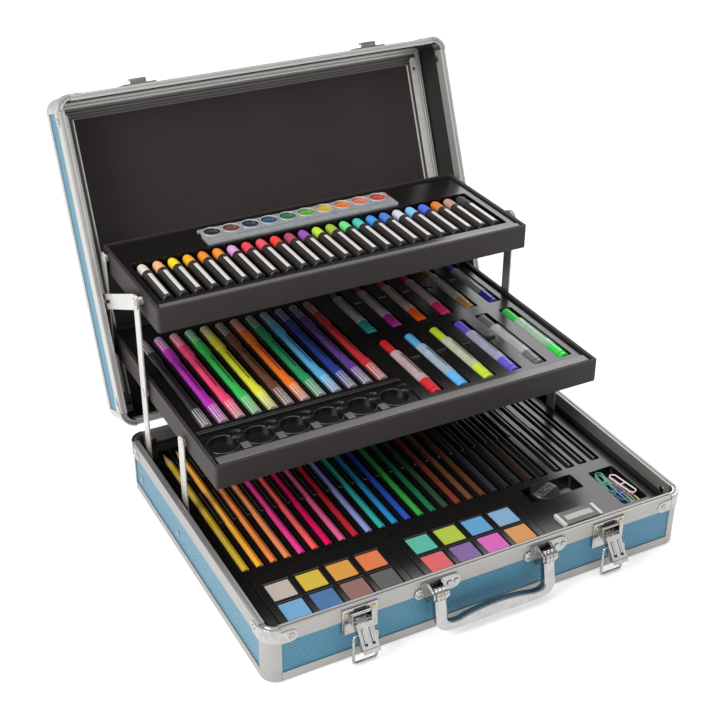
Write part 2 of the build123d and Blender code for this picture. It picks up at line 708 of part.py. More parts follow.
# Carrying handle: two arms and a grip that swells in the middle, hanging a little out
GRIP_DROP = 36.2
GRIP_ENDS = 9
GRIP_MIDDLE = 14
GRIP_OUTER_BEND = 14
GRIP_INNER_BEND = 6
GRIP_SWELL_HALF = 33
ARM_ROUND = 4.5
HANDLE_SOFTENING = 2
arm_outer = HANDLE_X + HANDLE_ARM / 2
arm_inner = HANDLE_X - HANDLE_ARM / 2
handle_plane = Plane(
    origin=(0, *HANDLE_PIVOT),
    x_dir=(1, 0, 0),
    z_dir=(0, -cos(radians(HANDLE_LEAN)), sin(radians(HANDLE_LEAN))),
)
with BuildPart() as handle_bail:
    with BuildSketch(handle_plane) as handle_shape:
        with Locations((0, (ARM_ROUND - GRIP_DROP) / 2)):
            Rectangle(2 * arm_outer, GRIP_DROP + ARM_ROUND)
        fillet(handle_shape.vertices().sort_by(Axis.Y)[:2], GRIP_OUTER_BEND)
        with BuildLine():
            left_side = Polyline(
                (-GRIP_SWELL_HALF, GRIP_ENDS - GRIP_DROP),
                (-arm_inner, GRIP_ENDS - GRIP_DROP),
                (-arm_inner, 2 * ARM_ROUND),
                (arm_inner, 2 * ARM_ROUND),
                (arm_inner, GRIP_ENDS - GRIP_DROP),
                (GRIP_SWELL_HALF, GRIP_ENDS - GRIP_DROP),
            )
            ThreePointArc(left_side @ 1, (0, GRIP_MIDDLE - GRIP_DROP), left_side @ 0)
        make_face(mode=Mode.SUBTRACT)
        inner_corners = handle_shape.vertices().filter_by(
            lambda v: abs(abs(v.X) - arm_inner) < CLEARANCE and v.Y < 0
        )
        fillet(inner_corners, GRIP_INNER_BEND)
    extrude(amount=HANDLE_THICK / 2, both=True)
    with BuildSketch(Plane.YZ.offset(-arm_outer)):
        with Locations(HANDLE_PIVOT):
            Circle(HANDLE_PIN + CLEARANCE)
    extrude(amount=2 * arm_outer, mode=Mode.SUBTRACT)
    across = Axis(handle_plane.origin, handle_plane.z_dir)
    for face in (handle_bail.faces().sort_by(across)[0], handle_bail.faces().sort_by(across)[-1]):
        chamfer(face.edges(), HANDLE_SOFTENING / 2)
handle_bail.part.label = "handle_bail"
export_step(handle_bail.part, "parts/handle_bail.step")

# Side links, with their rivets, and the slotted lid stays
mid_side = MID_WIDTH / 2
upper_side = UPPER_WIDTH / 2
link_outer = LINK_LAYER + LINK_THICK
rear_outer = REAR_LAYER + REAR_LINK_THICK
stay_outer = STAY_LAYER + STAY_THICK
long_mid = (LONG_FOOT[0], LONG_FOOT[1] + LINK_LENGTH)
long_top = (LONG_FOOT[0], LONG_FOOT[1] + 2 * LINK_LENGTH)
front_mid = (FRONT_FOOT[0], FRONT_FOOT[1] + LINK_LENGTH)
rear_mid = (REAR_Y, long_mid[1])
rear_top = (REAR_Y, long_top[1])

open_stud = LID.from_local_coords(Vector(0, *LID_STUD))
stay_end = (open_stud.Y, open_stud.Z)
stay_run = hypot(stay_end[0] - long_top[0], stay_end[1] - long_top[1])
slot_share = STAY_SLOT_START / stay_run
slot_start = (
    long_top[0] + slot_share * (stay_end[0] - long_top[0]),
    long_top[1] + slot_share * (stay_end[1] - long_top[1]),
)

for side_name, side in SIDES:
    with BuildPart() as long_arm:
        link_plate(side, LINK_LAYER, LINK_THICK, LONG_FOOT, long_top, LINK_WIDTH)
        foot_pin(side, LONG_FOOT)
        tray_pin(side, long_mid, mid_side, LINK_LAYER, link_outer)
        tray_pin(side, long_top, upper_side, LINK_LAYER, stay_outer + LAYER_GAP)
        disc(side, long_top, link_outer, STAY_LAYER - LAYER_GAP, COLLAR_RADIUS)
    long_arm.part.label = f"long_arm_{side_name}"
    export_step(long_arm.part, f"parts/long_arm_{side_name}.step")

    with BuildPart() as front_arm:
        link_plate(side, LINK_LAYER, LINK_THICK, FRONT_FOOT, front_mid, LINK_WIDTH)
        foot_pin(side, FRONT_FOOT)
        tray_pin(side, front_mid, mid_side, LINK_LAYER, link_outer)
    front_arm.part.label = f"front_arm_{side_name}"
    export_step(front_arm.part, f"parts/front_arm_{side_name}.step")

    with BuildPart() as rear_arm:
        link_plate(side, REAR_LAYER, REAR_LINK_THICK, rear_mid, rear_top, LINK_WIDTH)
        tray_pin(side, rear_mid, mid_side, REAR_LAYER, rear_outer)
        tray_pin(side, rear_top, upper_side, REAR_LAYER, rear_outer)
    rear_arm.part.label = f"rear_arm_{side_name}"
    export_step(rear_arm.part, f"parts/rear_arm_{side_name}.step")

    with BuildPart() as stay:
        link_plate(side, STAY_LAYER, STAY_THICK, long_top, stay_end, STAY_WIDTH)
        link_plate(side, STAY_LAYER, STAY_THICK, slot_start, stay_end, STAY_SLOT_WIDTH, Mode.SUBTRACT)
        disc(side, long_top, STAY_LAYER, stay_outer, PIVOT_RADIUS + CLEARANCE, Mode.SUBTRACT)
    stay.part.label = f"stay_{side_name}"
    export_step(stay.part, f"parts/stay_{side_name}.step")

# Trays: open boxes, drilled for the link rivets
for tray, width, front, back, bottom, top, pivots in (
    ("mid", MID_WIDTH, MID_FRONT, MID_BACK, MID_BOTTOM, MID_TOP, (long_mid, front_mid, rear_mid)),
    ("upper", UPPER_WIDTH, UPPER_FRONT, UPPER_BACK, UPPER_BOTTOM, UPPER_TOP, (long_top, rear_top)),
):
    with BuildPart() as tray_box:
        open_box(width, front, back, bottom, top, TRAY_WALL, TRAY_FLOOR, TRAY_CORNER)
        for side in (-1, 1):
            for pivot in pivots:
                disc(side, pivot, width / 2 - TRAY_WALL, width / 2, PIVOT_RADIUS + CLEARANCE, Mode.SUBTRACT)
    tray_box.part.label = f"{tray}_tray_box"
    export_step(tray_box.part, f"parts/{tray}_tray_box.step")

# Contents of the base, all let into one moulded insert
PENCIL_COUNT = 24
PENCIL_PITCH = 11.7
PENCIL_FIRST_X = -161.4
PENCIL_FRONT = -55.1
PENCIL_LENGTH = 176.5
PENCIL_POINT = 20
PENCIL_RADIUS = 3.5
PENCIL_RISE = 0.6
PENCIL_POCKET = 6.5
POCKET_END = 2
PENCIL_TIP_RADIUS = 0.4
DRAWING_X = (122, 134.5, 147)
BRUSH_X = 160
BRUSH_HANDLE = 120
BRUSH_FERRULE = 24
BRUSH_HAIR = 14
BRUSH_RADIUS = 3
PALETTE_X = (-110, 9.5)
PALETTE_WIDTH = 109
PALETTE_FRONT = -127.3
PALETTE_BACK = -67.8
PALETTE_DEPTH = 6
PALETTE_RISE = 0.5
PALETTE_CORNER = 4
CAKE_SIZE = 19.5
CAKE_PITCH_X = 25.2
CAKE_PITCH_Y = 24
CAKE_Y = -100.8
CAKE_THICK = 3.4
CAKE_CORNER = 1
SHARPENER_RECESS = (78, 128, -84.8, -64.8)
SHARPENER_CENTRE = (96, -74.8)
ERASER = (81, 120, -124.8, -106.8)
CLIP_TRAY = (142, 166.5, -119.8, -70.3)
SMALL_POCKET_DEPTH = 7


def row_x(index):
    """Middle line of one colour pencil."""
    return PENCIL_FIRST_X + index * PENCIL_PITCH


pencil_z = BASE_INSERT_TOP + PENCIL_RISE - PENCIL_RADIUS
pencil_back = PENCIL_FRONT + PENCIL_LENGTH
stick_half = PENCIL_RADIUS + 1
long_lines = [row_x(index) for index in range(PENCIL_COUNT)] + [*DRAWING_X, BRUSH_X]
base_pockets = [
    (x - stick_half, x + stick_half, PENCIL_FRONT - POCKET_END, pencil_back + POCKET_END, PENCIL_POCKET)
    for x in long_lines
]
for palette_x in PALETTE_X:
    base_pockets.append((
        palette_x - PALETTE_WIDTH / 2 - INSERT_GAP,
        palette_x + PALETTE_WIDTH / 2 + INSERT_GAP,
        PALETTE_FRONT - INSERT_GAP,
        PALETTE_BACK + INSERT_GAP,
        PALETTE_DEPTH,
    ))
for box in (SHARPENER_RECESS, ERASER, CLIP_TRAY):
    base_pockets.append((*box, SMALL_POCKET_DEPTH))

with BuildPart() as base_insert:
    half_insert = BASE_INSERT_WIDTH / 2
    half_insert_y = BASE_INSERT_DEPTH / 2
    pocketed_sheet(
        (-half_insert, half_insert),
        (-half_insert_y, half_insert_y),
        BASE_INSERT_TOP,
        SKIN + PANEL,
        base_pockets,
    )
base_insert.part.label = "base_insert"
export_step(base_insert.part, "parts/base_insert.step")


def stick(x, front, length, radius, z):
    """Round stick lying along Y."""
    with BuildSketch(Plane.XZ.offset(-front)) as profile:
        with Locations((x, z)):
            Circle(radius)
    extrude(profile.sketch, amount=-length)


def pencil(x):
    """Sharpened pencil, point to the back."""
    barrel = PENCIL_LENGTH - PENCIL_POINT
    stick(x, PENCIL_FRONT, barrel, PENCIL_RADIUS, pencil_z)
    with BuildSketch(Plane.XZ.offset(-PENCIL_FRONT - barrel)) as profile:
        with Locations((x, pencil_z)):
            Circle(PENCIL_RADIUS)
    slope = degrees(atan2(PENCIL_RADIUS - PENCIL_TIP_RADIUS, PENCIL_POINT))
    extrude(profile.sketch, amount=-PENCIL_POINT, taper=slope)


with BuildPart() as colour_pencils:
    for index in range(PENCIL_COUNT):
        pencil(row_x(index))
colour_pencils.part.label = "colour_pencils"
export_step(colour_pencils.part, "parts/colour_pencils.step")

# Three dark drawing pencils and one brush, right of the colours
with BuildPart() as drawing_pencils:
    for x in DRAWING_X:
        pencil(x)
    stick(BRUSH_X, PENCIL_FRONT, BRUSH_HANDLE, BRUSH_RADIUS, pencil_z)
    stick(BRUSH_X, PENCIL_FRONT + BRUSH_HANDLE, BRUSH_FERRULE, BRUSH_RADIUS - 0.5, pencil_z)
    stick(BRUSH_X, PENCIL_FRONT + BRUSH_HANDLE + BRUSH_FERRULE, BRUSH_HAIR, BRUSH_RADIUS - 1, pencil_z)
drawing_pencils.part.label = "drawing_pencils"
export_step(drawing_pencils.part, "parts/drawing_pencils.step")

# Two black palettes of eight wells, and their paint cakes
palette_low = BASE_INSERT_TOP - PALETTE_DEPTH
with BuildPart() as paint_palettes:
    with BuildSketch(Plane.XY.offset(palette_low)):
        for palette_x in PALETTE_X:
            with Locations((palette_x, (PALETTE_FRONT + PALETTE_BACK) / 2)):
                RectangleRounded(PALETTE_WIDTH, PALETTE_BACK - PALETTE_FRONT, PALETTE_CORNER)
    extrude(amount=PALETTE_DEPTH + PALETTE_RISE)
    with BuildSketch(Plane.XY.offset(BASE_INSERT_TOP - CAKE_THICK)):
        for palette_x in PALETTE_X:
            with Locations((palette_x, CAKE_Y)):
                with GridLocations(CAKE_PITCH_X, CAKE_PITCH_Y, 4, 2):
                    Rectangle(CAKE_SIZE + 2 * INSERT_GAP, CAKE_SIZE + 2 * INSERT_GAP)
    extrude(amount=CAKE_THICK + PALETTE_RISE, mode=Mode.SUBTRACT)
paint_palettes.part.label = "paint_palettes"
export_step(paint_palettes.part, "parts/paint_palettes.step")

with BuildPart() as paint_cakes:
    with BuildSketch(Plane.XY.offset(BASE_INSERT_TOP - CAKE_THICK)):
        for palette_x in PALETTE_X:
            with Locations((palette_x, CAKE_Y)):
                with GridLocations(CAKE_PITCH_X, CAKE_PITCH_Y, 4, 2):
                    RectangleRounded(CAKE_SIZE, CAKE_SIZE, CAKE_CORNER)
    extrude(amount=CAKE_THICK)
paint_cakes.part.label = "paint_cakes"
export_step(paint_cakes.part, "parts/paint_cakes.step")

# Round sharpener: a turned body with a blade seat across it and a thin blade on top
SHARPENER_RADIUS = 8
SHARPENER_HEIGHT = 8
SHARPENER_WEDGE = 25.6
BLADE_LENGTH = 14
BLADE_WIDTH = 6
BLADE_THICK = 0.5
BLADE_TURN = 20
small_floor = BASE_INSERT_TOP - SMALL_POCKET_DEPTH
with BuildPart() as sharpener:
    with BuildSketch(Plane.XY.offset(small_floor)):
        with Locations(SHARPENER_CENTRE):
            Circle(SHARPENER_RADIUS)
            SlotOverall(SHARPENER_WEDGE, SHARPENER_RADIUS, rotation=BLADE_TURN)
    extrude(amount=SHARPENER_HEIGHT)
    sharpener_top = small_floor + SHARPENER_HEIGHT
    with BuildSketch(Plane.XY.offset(sharpener_top)):
        with Locations(SHARPENER_CENTRE):
            Rectangle(BLADE_LENGTH, BLADE_WIDTH, rotation=BLADE_TURN)
    extrude(amount=BLADE_THICK)
sharpener.part.label = "sharpener"
export_step(sharpener.part, "parts/sharpener.step")

# Eraser block with a paper sleeve round most of it
ERASER_HEIGHT = 9
SLEEVE = 0.3
SLEEVE_SHARE = 0.72
ERASER_ROOM = 2
eraser_length = ERASER[1] - ERASER[0] - ERASER_ROOM
eraser_depth = ERASER[3] - ERASER[2] - ERASER_ROOM
eraser_middle = ((ERASER[0] + ERASER[1]) / 2, (ERASER[2] + ERASER[3]) / 2)
with BuildPart() as eraser:
    with Locations((*eraser_middle, small_floor + SLEEVE + ERASER_HEIGHT / 2)):
        Box(eraser_length, eraser_depth - 2 * SLEEVE, ERASER_HEIGHT)
    sleeve_length = eraser_length * SLEEVE_SHARE
    sleeve_x = eraser_middle[0] - (eraser_length - sleeve_length) / 2
    with Locations((sleeve_x, eraser_middle[1], small_floor + SLEEVE + ERASER_HEIGHT / 2)):
        Box(sleeve_length, eraser_depth, ERASER_HEIGHT + 2 * SLEEVE)
eraser.part.label = "eraser"
export_step(eraser.part, "parts/eraser.step")

# Loose wire clips lying over one another in their compartment
CLIP_COUNT = 8
CLIP_LENGTH = 29
CLIP_WIDTH = 7
CLIP_WIRE = 0.8
CLIP_STEP = 0.85
CLIP_SWING = 8
CLIP_SCATTER_X = 5.5
CLIP_SCATTER_Y = 9.5
clip_middle = ((CLIP_TRAY[0] + CLIP_TRAY[1]) / 2, (CLIP_TRAY[2] + CLIP_TRAY[3]) / 2)
with BuildPart() as paper_clips:
    for index in range(CLIP_COUNT):
        swing = CLIP_SWING * sin(2.1 * index)
        shift_x = CLIP_SCATTER_X * cos(1.7 * index + 0.4)
        shift_y = CLIP_SCATTER_Y * (index % 3 - 1)
        with BuildSketch(Plane.XY.offset(small_floor + index * CLIP_STEP)):
            with Locations((clip_middle[0] + shift_x, clip_middle[1] + shift_y)):
                SlotOverall(CLIP_LENGTH, CLIP_WIDTH, rotation=90 + swing)
                SlotOverall(
                    CLIP_LENGTH - 2 * CLIP_WIRE,
                    CLIP_WIDTH - 2 * CLIP_WIRE,
                    rotation=90 + swing,
                    mode=Mode.SUBTRACT,
                )
                Rectangle(CLIP_WIDTH, CLIP_WIRE, rotation=swing)
        extrude(amount=CLIP_WIRE)
paper_clips.part.label = "paper_clips"
export_step(paper_clips.part, "parts/paper_clips.step")

# Middle tray: twelve long markers on the left, twelve short ones on the right, six paint wells
LONG_COUNT = 12
LONG_PITCH = 14.1
LONG_FIRST_X = -154.2
LONG_FRONT = 28.5
LONG_LENGTH = 146
LONG_BODY_RADIUS = 5.2
LONG_NECK_RADIUS = 3.9
LONG_CAP_FRONT = 34
LONG_CAP_BACK = 40
LONG_Z = 112.5
SHORT_COUNT = 6
SHORT_PITCH = 24.9
SHORT_FIRST_X = 30
SHORT_FRONTS = (-8.5, 101)
SHORT_LENGTH = 92
SHORT_RADIUS = 5.9
SHORT_CAP = 21
SHORT_CAP_RADIUS = 4.8
SHORT_Z = 111.5
WELL_FIRST_X = -153
WELL_PITCH = 29.6
WELL_COUNT = 6
WELL_RADIUS = 12
WELL_Y = 0
WELL_TRAY = (-166.5, 12.5, -14.5, 20)
WELL_TRAY_DEPTH = 1.5
WELL_DEPTH = 3.5
MID_INSERT_X = 168.5
MID_INSERT_FRONT = -17
MARKER_ROOM = 0.8
MARKER_END_ROOM = 1.5
MARKER_LIFT = 0.1

mid_pockets = [(*WELL_TRAY, WELL_TRAY_DEPTH)]
for count, first_x, pitch, fronts, length, radius, z in (
    (LONG_COUNT, LONG_FIRST_X, LONG_PITCH, (LONG_FRONT,), LONG_LENGTH, LONG_BODY_RADIUS, LONG_Z),
    (SHORT_COUNT, SHORT_FIRST_X, SHORT_PITCH, SHORT_FRONTS, SHORT_LENGTH, SHORT_RADIUS, SHORT_Z),
):
    half_pocket = radius + MARKER_ROOM
    for front in fronts:
        for index in range(count):
            mid_pockets.append((
                first_x + index * pitch - half_pocket,
                first_x + index * pitch + half_pocket,
                front - MARKER_END_ROOM,
                front + length + MARKER_END_ROOM,
                MID_INSERT_TOP - z + radius + MARKER_LIFT,
            ))

with BuildPart() as mid_tray_insert:
    insert_y = (MID_INSERT_FRONT, MID_BACK - TRAY_WALL - INSERT_GAP)
    pocketed_sheet(
        (-MID_INSERT_X, MID_INSERT_X),
        insert_y,
        MID_INSERT_TOP,
        MID_BOTTOM + TRAY_FLOOR,
        mid_pockets,
    )
    well_floor = MID_INSERT_TOP - WELL_TRAY_DEPTH
    wells = [(WELL_FIRST_X + index * WELL_PITCH, WELL_Y) for index in range(WELL_COUNT)]
    for radius, drop, mode in (
        (WELL_RADIUS + POCKET_WALL, WELL_DEPTH + POCKET_WALL, Mode.ADD),
        (WELL_RADIUS, WELL_DEPTH, Mode.SUBTRACT),
    ):
        with BuildSketch(Plane.XY.offset(well_floor)):
            with Locations(*wells):
                Circle(radius)
        extrude(amount=-drop, mode=mode)
mid_tray_insert.part.label = "mid_tray_insert"
export_step(mid_tray_insert.part, "parts/mid_tray_insert.step")

with BuildPart() as long_markers:
    for index in range(LONG_COUNT):
        x = LONG_FIRST_X + index * LONG_PITCH
        stick(x, LONG_FRONT, LONG_LENGTH, LONG_NECK_RADIUS, LONG_Z)
        stick(x, LONG_FRONT, LONG_CAP_FRONT, LONG_BODY_RADIUS, LONG_Z)
        stick(x, LONG_FRONT + LONG_LENGTH - LONG_CAP_BACK, LONG_CAP_BACK, LONG_BODY_RADIUS, LONG_Z)
long_markers.part.label = "long_markers"
export_step(long_markers.part, "parts/long_markers.step")

with BuildPart() as short_markers:
    for front in SHORT_FRONTS:
        for index in range(SHORT_COUNT):
            x = SHORT_FIRST_X + index * SHORT_PITCH
            stick(x, front, SHORT_LENGTH - SHORT_CAP, SHORT_RADIUS, SHORT_Z)
            stick(x, front + SHORT_LENGTH - SHORT_CAP, SHORT_CAP, SHORT_CAP_RADIUS, SHORT_Z)
short_markers.part.label = "short_markers"
export_step(short_markers.part, "parts/short_markers.step")

# Upper tray: a bed of pastels in front, a trough for the watercolour strip behind
PASTEL_COUNT = 24
PASTEL_PITCH = 13.25
PASTEL_FIRST_X = -153
PASTEL_FRONT = 101
PASTEL_LENGTH = 65
PASTEL_RADIUS = 4.6
PASTEL_Z = 190.4
PASTEL_BED = (-161, 160, 97, 169)
PASTEL_BED_DEPTH = 8
STRIP = (-90, 95, 172, 203)
STRIP_DEPTH = 9
STRIP_ROOM = 0.5
STRIP_CORNER = 3
PAN_COUNT = 10
PAN_PITCH = 17.9
PAN_RADIUS = 7.2
PAN_Y = 193.5
PAN_DEPTH = 1
STRIP_GROOVE = (-88, 93, 173.5, 182)
upper_inner = UPPER_WIDTH / 2 - TRAY_WALL - INSERT_GAP
with BuildPart() as upper_tray_insert:
    tray_inside = (UPPER_FRONT + TRAY_WALL + INSERT_GAP, UPPER_BACK - TRAY_WALL - INSERT_GAP)
    pocketed_sheet(
        (-upper_inner, upper_inner),
        tray_inside,
        UPPER_INSERT_TOP,
        UPPER_BOTTOM + TRAY_FLOOR,
        [(*PASTEL_BED, PASTEL_BED_DEPTH), (*STRIP, STRIP_DEPTH)],
    )
upper_tray_insert.part.label = "upper_tray_insert"
export_step(upper_tray_insert.part, "parts/upper_tray_insert.step")

with BuildPart() as oil_pastels:
    for index in range(PASTEL_COUNT):
        stick(PASTEL_FIRST_X + index * PASTEL_PITCH, PASTEL_FRONT, PASTEL_LENGTH, PASTEL_RADIUS, PASTEL_Z)
oil_pastels.part.label = "oil_pastels"
export_step(oil_pastels.part, "parts/oil_pastels.step")

strip_x = (STRIP[0] + STRIP[1]) / 2
strip_y = (STRIP[2] + STRIP[3]) / 2
strip_low = UPPER_INSERT_TOP - STRIP_DEPTH
with BuildPart() as watercolour_strip:
    with BuildSketch(Plane.XY.offset(strip_low)):
        with Locations((strip_x, strip_y)):
            RectangleRounded(
                STRIP[1] - STRIP[0] - 2 * STRIP_ROOM,
                STRIP[3] - STRIP[2] - 2 * STRIP_ROOM,
                STRIP_CORNER,
            )
    extrude(amount=UPPER_TOP - strip_low - INSERT_GAP)
    pans = [(strip_x + (index - (PAN_COUNT - 1) / 2) * PAN_PITCH, PAN_Y) for index in range(PAN_COUNT)]
    with BuildSketch(Plane.XY.offset(UPPER_TOP - INSERT_GAP)):
        with Locations(*pans):
            Circle(PAN_RADIUS)
        with Locations((strip_x, (STRIP_GROOVE[2] + STRIP_GROOVE[3]) / 2)):
            RectangleRounded(
                STRIP_GROOVE[1] - STRIP_GROOVE[0],
                STRIP_GROOVE[3] - STRIP_GROOVE[2],
                POCKET_CORNER,
            )
    extrude(amount=-PAN_DEPTH, mode=Mode.SUBTRACT)
watercolour_strip.part.label = "watercolour_strip"
export_step(watercolour_strip.part, "parts/watercolour_strip.step")
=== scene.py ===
import json
from math import cos, pi, radians, sin

import bpy
from mathutils import Matrix, Vector

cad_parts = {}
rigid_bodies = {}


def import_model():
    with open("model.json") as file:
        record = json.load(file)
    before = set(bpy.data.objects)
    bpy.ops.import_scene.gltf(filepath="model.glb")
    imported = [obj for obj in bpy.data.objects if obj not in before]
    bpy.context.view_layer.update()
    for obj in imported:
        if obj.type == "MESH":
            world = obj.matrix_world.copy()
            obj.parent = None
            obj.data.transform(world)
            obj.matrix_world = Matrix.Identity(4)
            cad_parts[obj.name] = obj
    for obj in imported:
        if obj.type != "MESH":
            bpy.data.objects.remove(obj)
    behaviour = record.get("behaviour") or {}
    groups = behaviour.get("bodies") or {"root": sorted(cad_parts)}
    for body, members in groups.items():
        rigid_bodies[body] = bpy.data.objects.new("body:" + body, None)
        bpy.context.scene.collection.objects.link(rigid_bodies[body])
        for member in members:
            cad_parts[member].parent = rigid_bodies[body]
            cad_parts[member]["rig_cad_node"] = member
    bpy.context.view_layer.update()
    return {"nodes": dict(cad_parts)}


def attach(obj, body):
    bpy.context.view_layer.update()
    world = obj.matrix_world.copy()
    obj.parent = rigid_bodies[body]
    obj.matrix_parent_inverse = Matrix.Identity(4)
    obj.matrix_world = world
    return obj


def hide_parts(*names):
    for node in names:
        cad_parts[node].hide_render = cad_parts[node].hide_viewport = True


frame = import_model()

# Wall boards, bottom and top: thin hardboard faced outside with blue plastic sheet that carries a
# fine diagonal emboss, and inside with black paper. They are cut flat and held by the metal edging,
# so the solids stay as they are and only get their finish.


class Reading:
    """A value, colour or direction inside a finish. A sum of readings adds the node for it."""

    def __init__(self, finish, socket):
        self.finish = finish
        self.socket = socket

    def work(self, operation, first, second=0.0):
        return self.finish.node("ShaderNodeMath", {"operation": operation}, {0: first, 1: second})

    def __add__(self, other):
        return self.work("ADD", self, other)

    def __radd__(self, other):
        return self.work("ADD", other, self)

    def __sub__(self, other):
        return self.work("SUBTRACT", self, other)

    def __rsub__(self, other):
        return self.work("SUBTRACT", other, self)

    def __mul__(self, other):
        return self.work("MULTIPLY", self, other)

    def __rmul__(self, other):
        return self.work("MULTIPLY", other, self)

    def __truediv__(self, other):
        return self.work("DIVIDE", self, other)

    def __gt__(self, other):
        return self.work("GREATER_THAN", self, other)

    def __lt__(self, other):
        return self.work("LESS_THAN", self, other)

    def __mod__(self, other):
        return self.work("FLOORED_MODULO", self, other)

    def __pow__(self, other):
        return self.work("POWER", self, other)

    def __abs__(self):
        return self.work("ABSOLUTE", self)

    def larger(self, other):
        return self.work("MAXIMUM", self, other)

    def within(self, low, high):
        """1 between two values and 0 outside them."""
        return (self > low) * (self < high)

    def wave(self, pitch):
        """0 to 1 and back, once in every pitch."""
        return 0.5 + 0.5 * self.work("SINE", self * (2 * pi / pitch))


class Finish:
    """A material: constants on the shader's own sockets, and readings linked to it."""

    def __init__(self, name, colour=(0.8, 0.8, 0.8), **constants):
        self.material = bpy.data.materials.new(name)
        self.material.use_nodes = True
        self.tree = self.material.node_tree
        self.shader = self.tree.nodes["Principled BSDF"]
        self.set(Base_Color=colour, **constants)

    def set(self, **sockets):
        for name, value in sockets.items():
            socket = self.shader.inputs[name.replace("_", " ")]
            if isinstance(value, Reading):
                self.tree.links.new(value.socket, socket)
            elif isinstance(value, tuple) and len(value) == 3:
                socket.default_value = (*value, 1)
            else:
                socket.default_value = value
        return self

    def node(self, kind, settings=None, inputs=None, output=0):
        made = self.tree.nodes.new(kind)
        for name, value in (settings or {}).items():
            setattr(made, name, value)
        for key, value in (inputs or {}).items():
            if isinstance(value, Reading):
                self.tree.links.new(value.socket, made.inputs[key])
            else:
                made.inputs[key].default_value = value
        return Reading(self, made.outputs[output])

    def place(self, lid=False):
        """Object coordinates in metres. Those of the lid are turned to where it is when shut."""
        found = self.node("ShaderNodeTexCoord", output="Object")
        if lid:
            turn = Matrix.Rotation(LID_OPEN, 3, "X")
            found = self.node("ShaderNodeMapping", inputs={
                "Vector": found, "Rotation": (LID_OPEN, 0, 0), "Location": HINGE - turn @ HINGE,
            })
        return found

    def axes(self, place, wanted="XYZ"):
        """The parts of a place along the axes asked for."""
        return [
            self.node("ShaderNodeSeparateXYZ", inputs={0: place}, output=axis) for axis in wanted
        ]

    def grain(self, place, size, detail=2.0, stretch=None):
        """Noise from 0 to 1 with bumps of a size in metres, drawn out along an axis if asked."""
        if stretch:
            place = self.node(
                "ShaderNodeVectorMath", {"operation": "MULTIPLY"}, {0: place, 1: stretch}
            )
        return self.node(
            "ShaderNodeTexNoise", inputs={"Vector": place, "Scale": 1 / size, "Detail": detail}
        )

    def bump(self, height, distance, strength=1.0):
        """Normal for a height from 0 to 1 over a distance in metres."""
        return self.node(
            "ShaderNodeBump", inputs={"Height": height, "Distance": distance, "Strength": strength}
        )

    def mix(self, share, first, second):
        """Colour between two, by a share."""
        first, second = (
            colour if isinstance(colour, Reading) else (*colour, 1) for colour in (first, second)
        )
        return self.node(
            "ShaderNodeMix", {"data_type": "RGBA"}, {0: share, 6: first, 7: second}, output=2
        )

    def row(self, along, swatches):
        """One of the swatches, by a share from 0 to 1 along a row of equal steps."""
        found = self.node("ShaderNodeValToRGB", inputs={0: along})
        ramp = found.socket.node.color_ramp
        ramp.interpolation = "CONSTANT"
        ramp.elements.remove(ramp.elements[-1])
        ramp.elements[0].position, ramp.elements[0].color = 0, (*tint(swatches[0]), 1)
        for index, swatch in enumerate(swatches[1:], 1):
            ramp.elements.new(index / len(swatches)).color = (*tint(swatch), 1)
        return found

    def lined_up(self, x, first_x, pitch, swatches):
        """For pieces side by side: the swatch of each, and how far it is to its middle line."""
        along = x - (first_x - pitch / 2)
        return self.row(along / (len(swatches) * pitch), swatches), along % pitch - pitch / 2

    def outside(self, x, y, z):
        """1 on a board's outer face and 0 on its inner one."""
        low_face = 0.5 * CLOSED_HEIGHT - abs(z - 0.5 * CLOSED_HEIGHT)
        from_side = abs(x) - (HALF_WIDTH - SHEET_DEPTH)
        from_front = abs(y) - (HALF_DEPTH - SHEET_DEPTH)
        return from_side.larger(from_front).larger(SHEET_THICK - low_face) > 0.0


def tint(swatch):
    """Colour of a swatch of six hex digits, as light adds it up."""
    parts = (int(swatch[i:i + 2], 16) / 255 for i in (0, 2, 4))
    return tuple(((part + 0.055) / 1.055) ** 2.4 for part in parts)


def dress(piece, finish):
    """Gives a piece or CAD node one finish all over."""
    if not piece.material_slots:
        piece.data.materials.append(finish.material)
    for slot in piece.material_slots:
        slot.material = finish.material


LID_OPEN = radians(112)
HINGE = Vector((0, 0.146, 0.0475))
HALF_WIDTH, HALF_DEPTH, CLOSED_HEIGHT = 0.184, 0.141, 0.0941
RIM = 0.0495
SHEET_DEPTH, SHEET_THICK = 0.002, 0.0012
EMBOSS_X, EMBOSS_SIDE = 0.0031, 0.0025
LINING_BLACK = tint("262221")


def board_finish(name, lid):
    """Blue embossed sheet outside and black paper inside."""
    board = Finish(name)
    place = board.place(lid)
    x, y, z = board.axes(place)
    outside = board.outside(x, y, z)
    ridges = (x * (EMBOSS_SIDE / EMBOSS_X) + y + z).wave(EMBOSS_SIDE)
    crossed = (x * (EMBOSS_SIDE / EMBOSS_X) + y - z).wave(EMBOSS_SIDE)
    emboss = 0.72 * ridges + 0.28 * crossed
    # The blue is painted darker in the emboss's grooves and lighter on its ridges: painted shade
    # and light on the relief, as well as the bump.
    blue = board.mix(emboss ** 0.8, tint("235468"), tint("4a8ca8"))
    blue = board.mix(board.grain(place, 0.05) * 0.25, blue, tint("33728e"))
    return board.set(
        Base_Color=board.mix(outside, LINING_BLACK, blue),
        Metallic=outside * 0.2,
        Roughness=0.75 - 0.4 * outside,
        Normal=board.bump(emboss * outside, 0.0003),
    )


base_board = board_finish("blue_board_base", False)
lid_board = board_finish("blue_board_lid", True)
for wall in ("front_panel", "back_panel", "left_panel", "right_panel"):
    dress(frame["nodes"]["base_" + wall], base_board)
    dress(frame["nodes"]["lid_" + wall], lid_board)
dress(frame["nodes"]["base_bottom_panel"], base_board)
dress(frame["nodes"]["lid_top_panel"], lid_board)

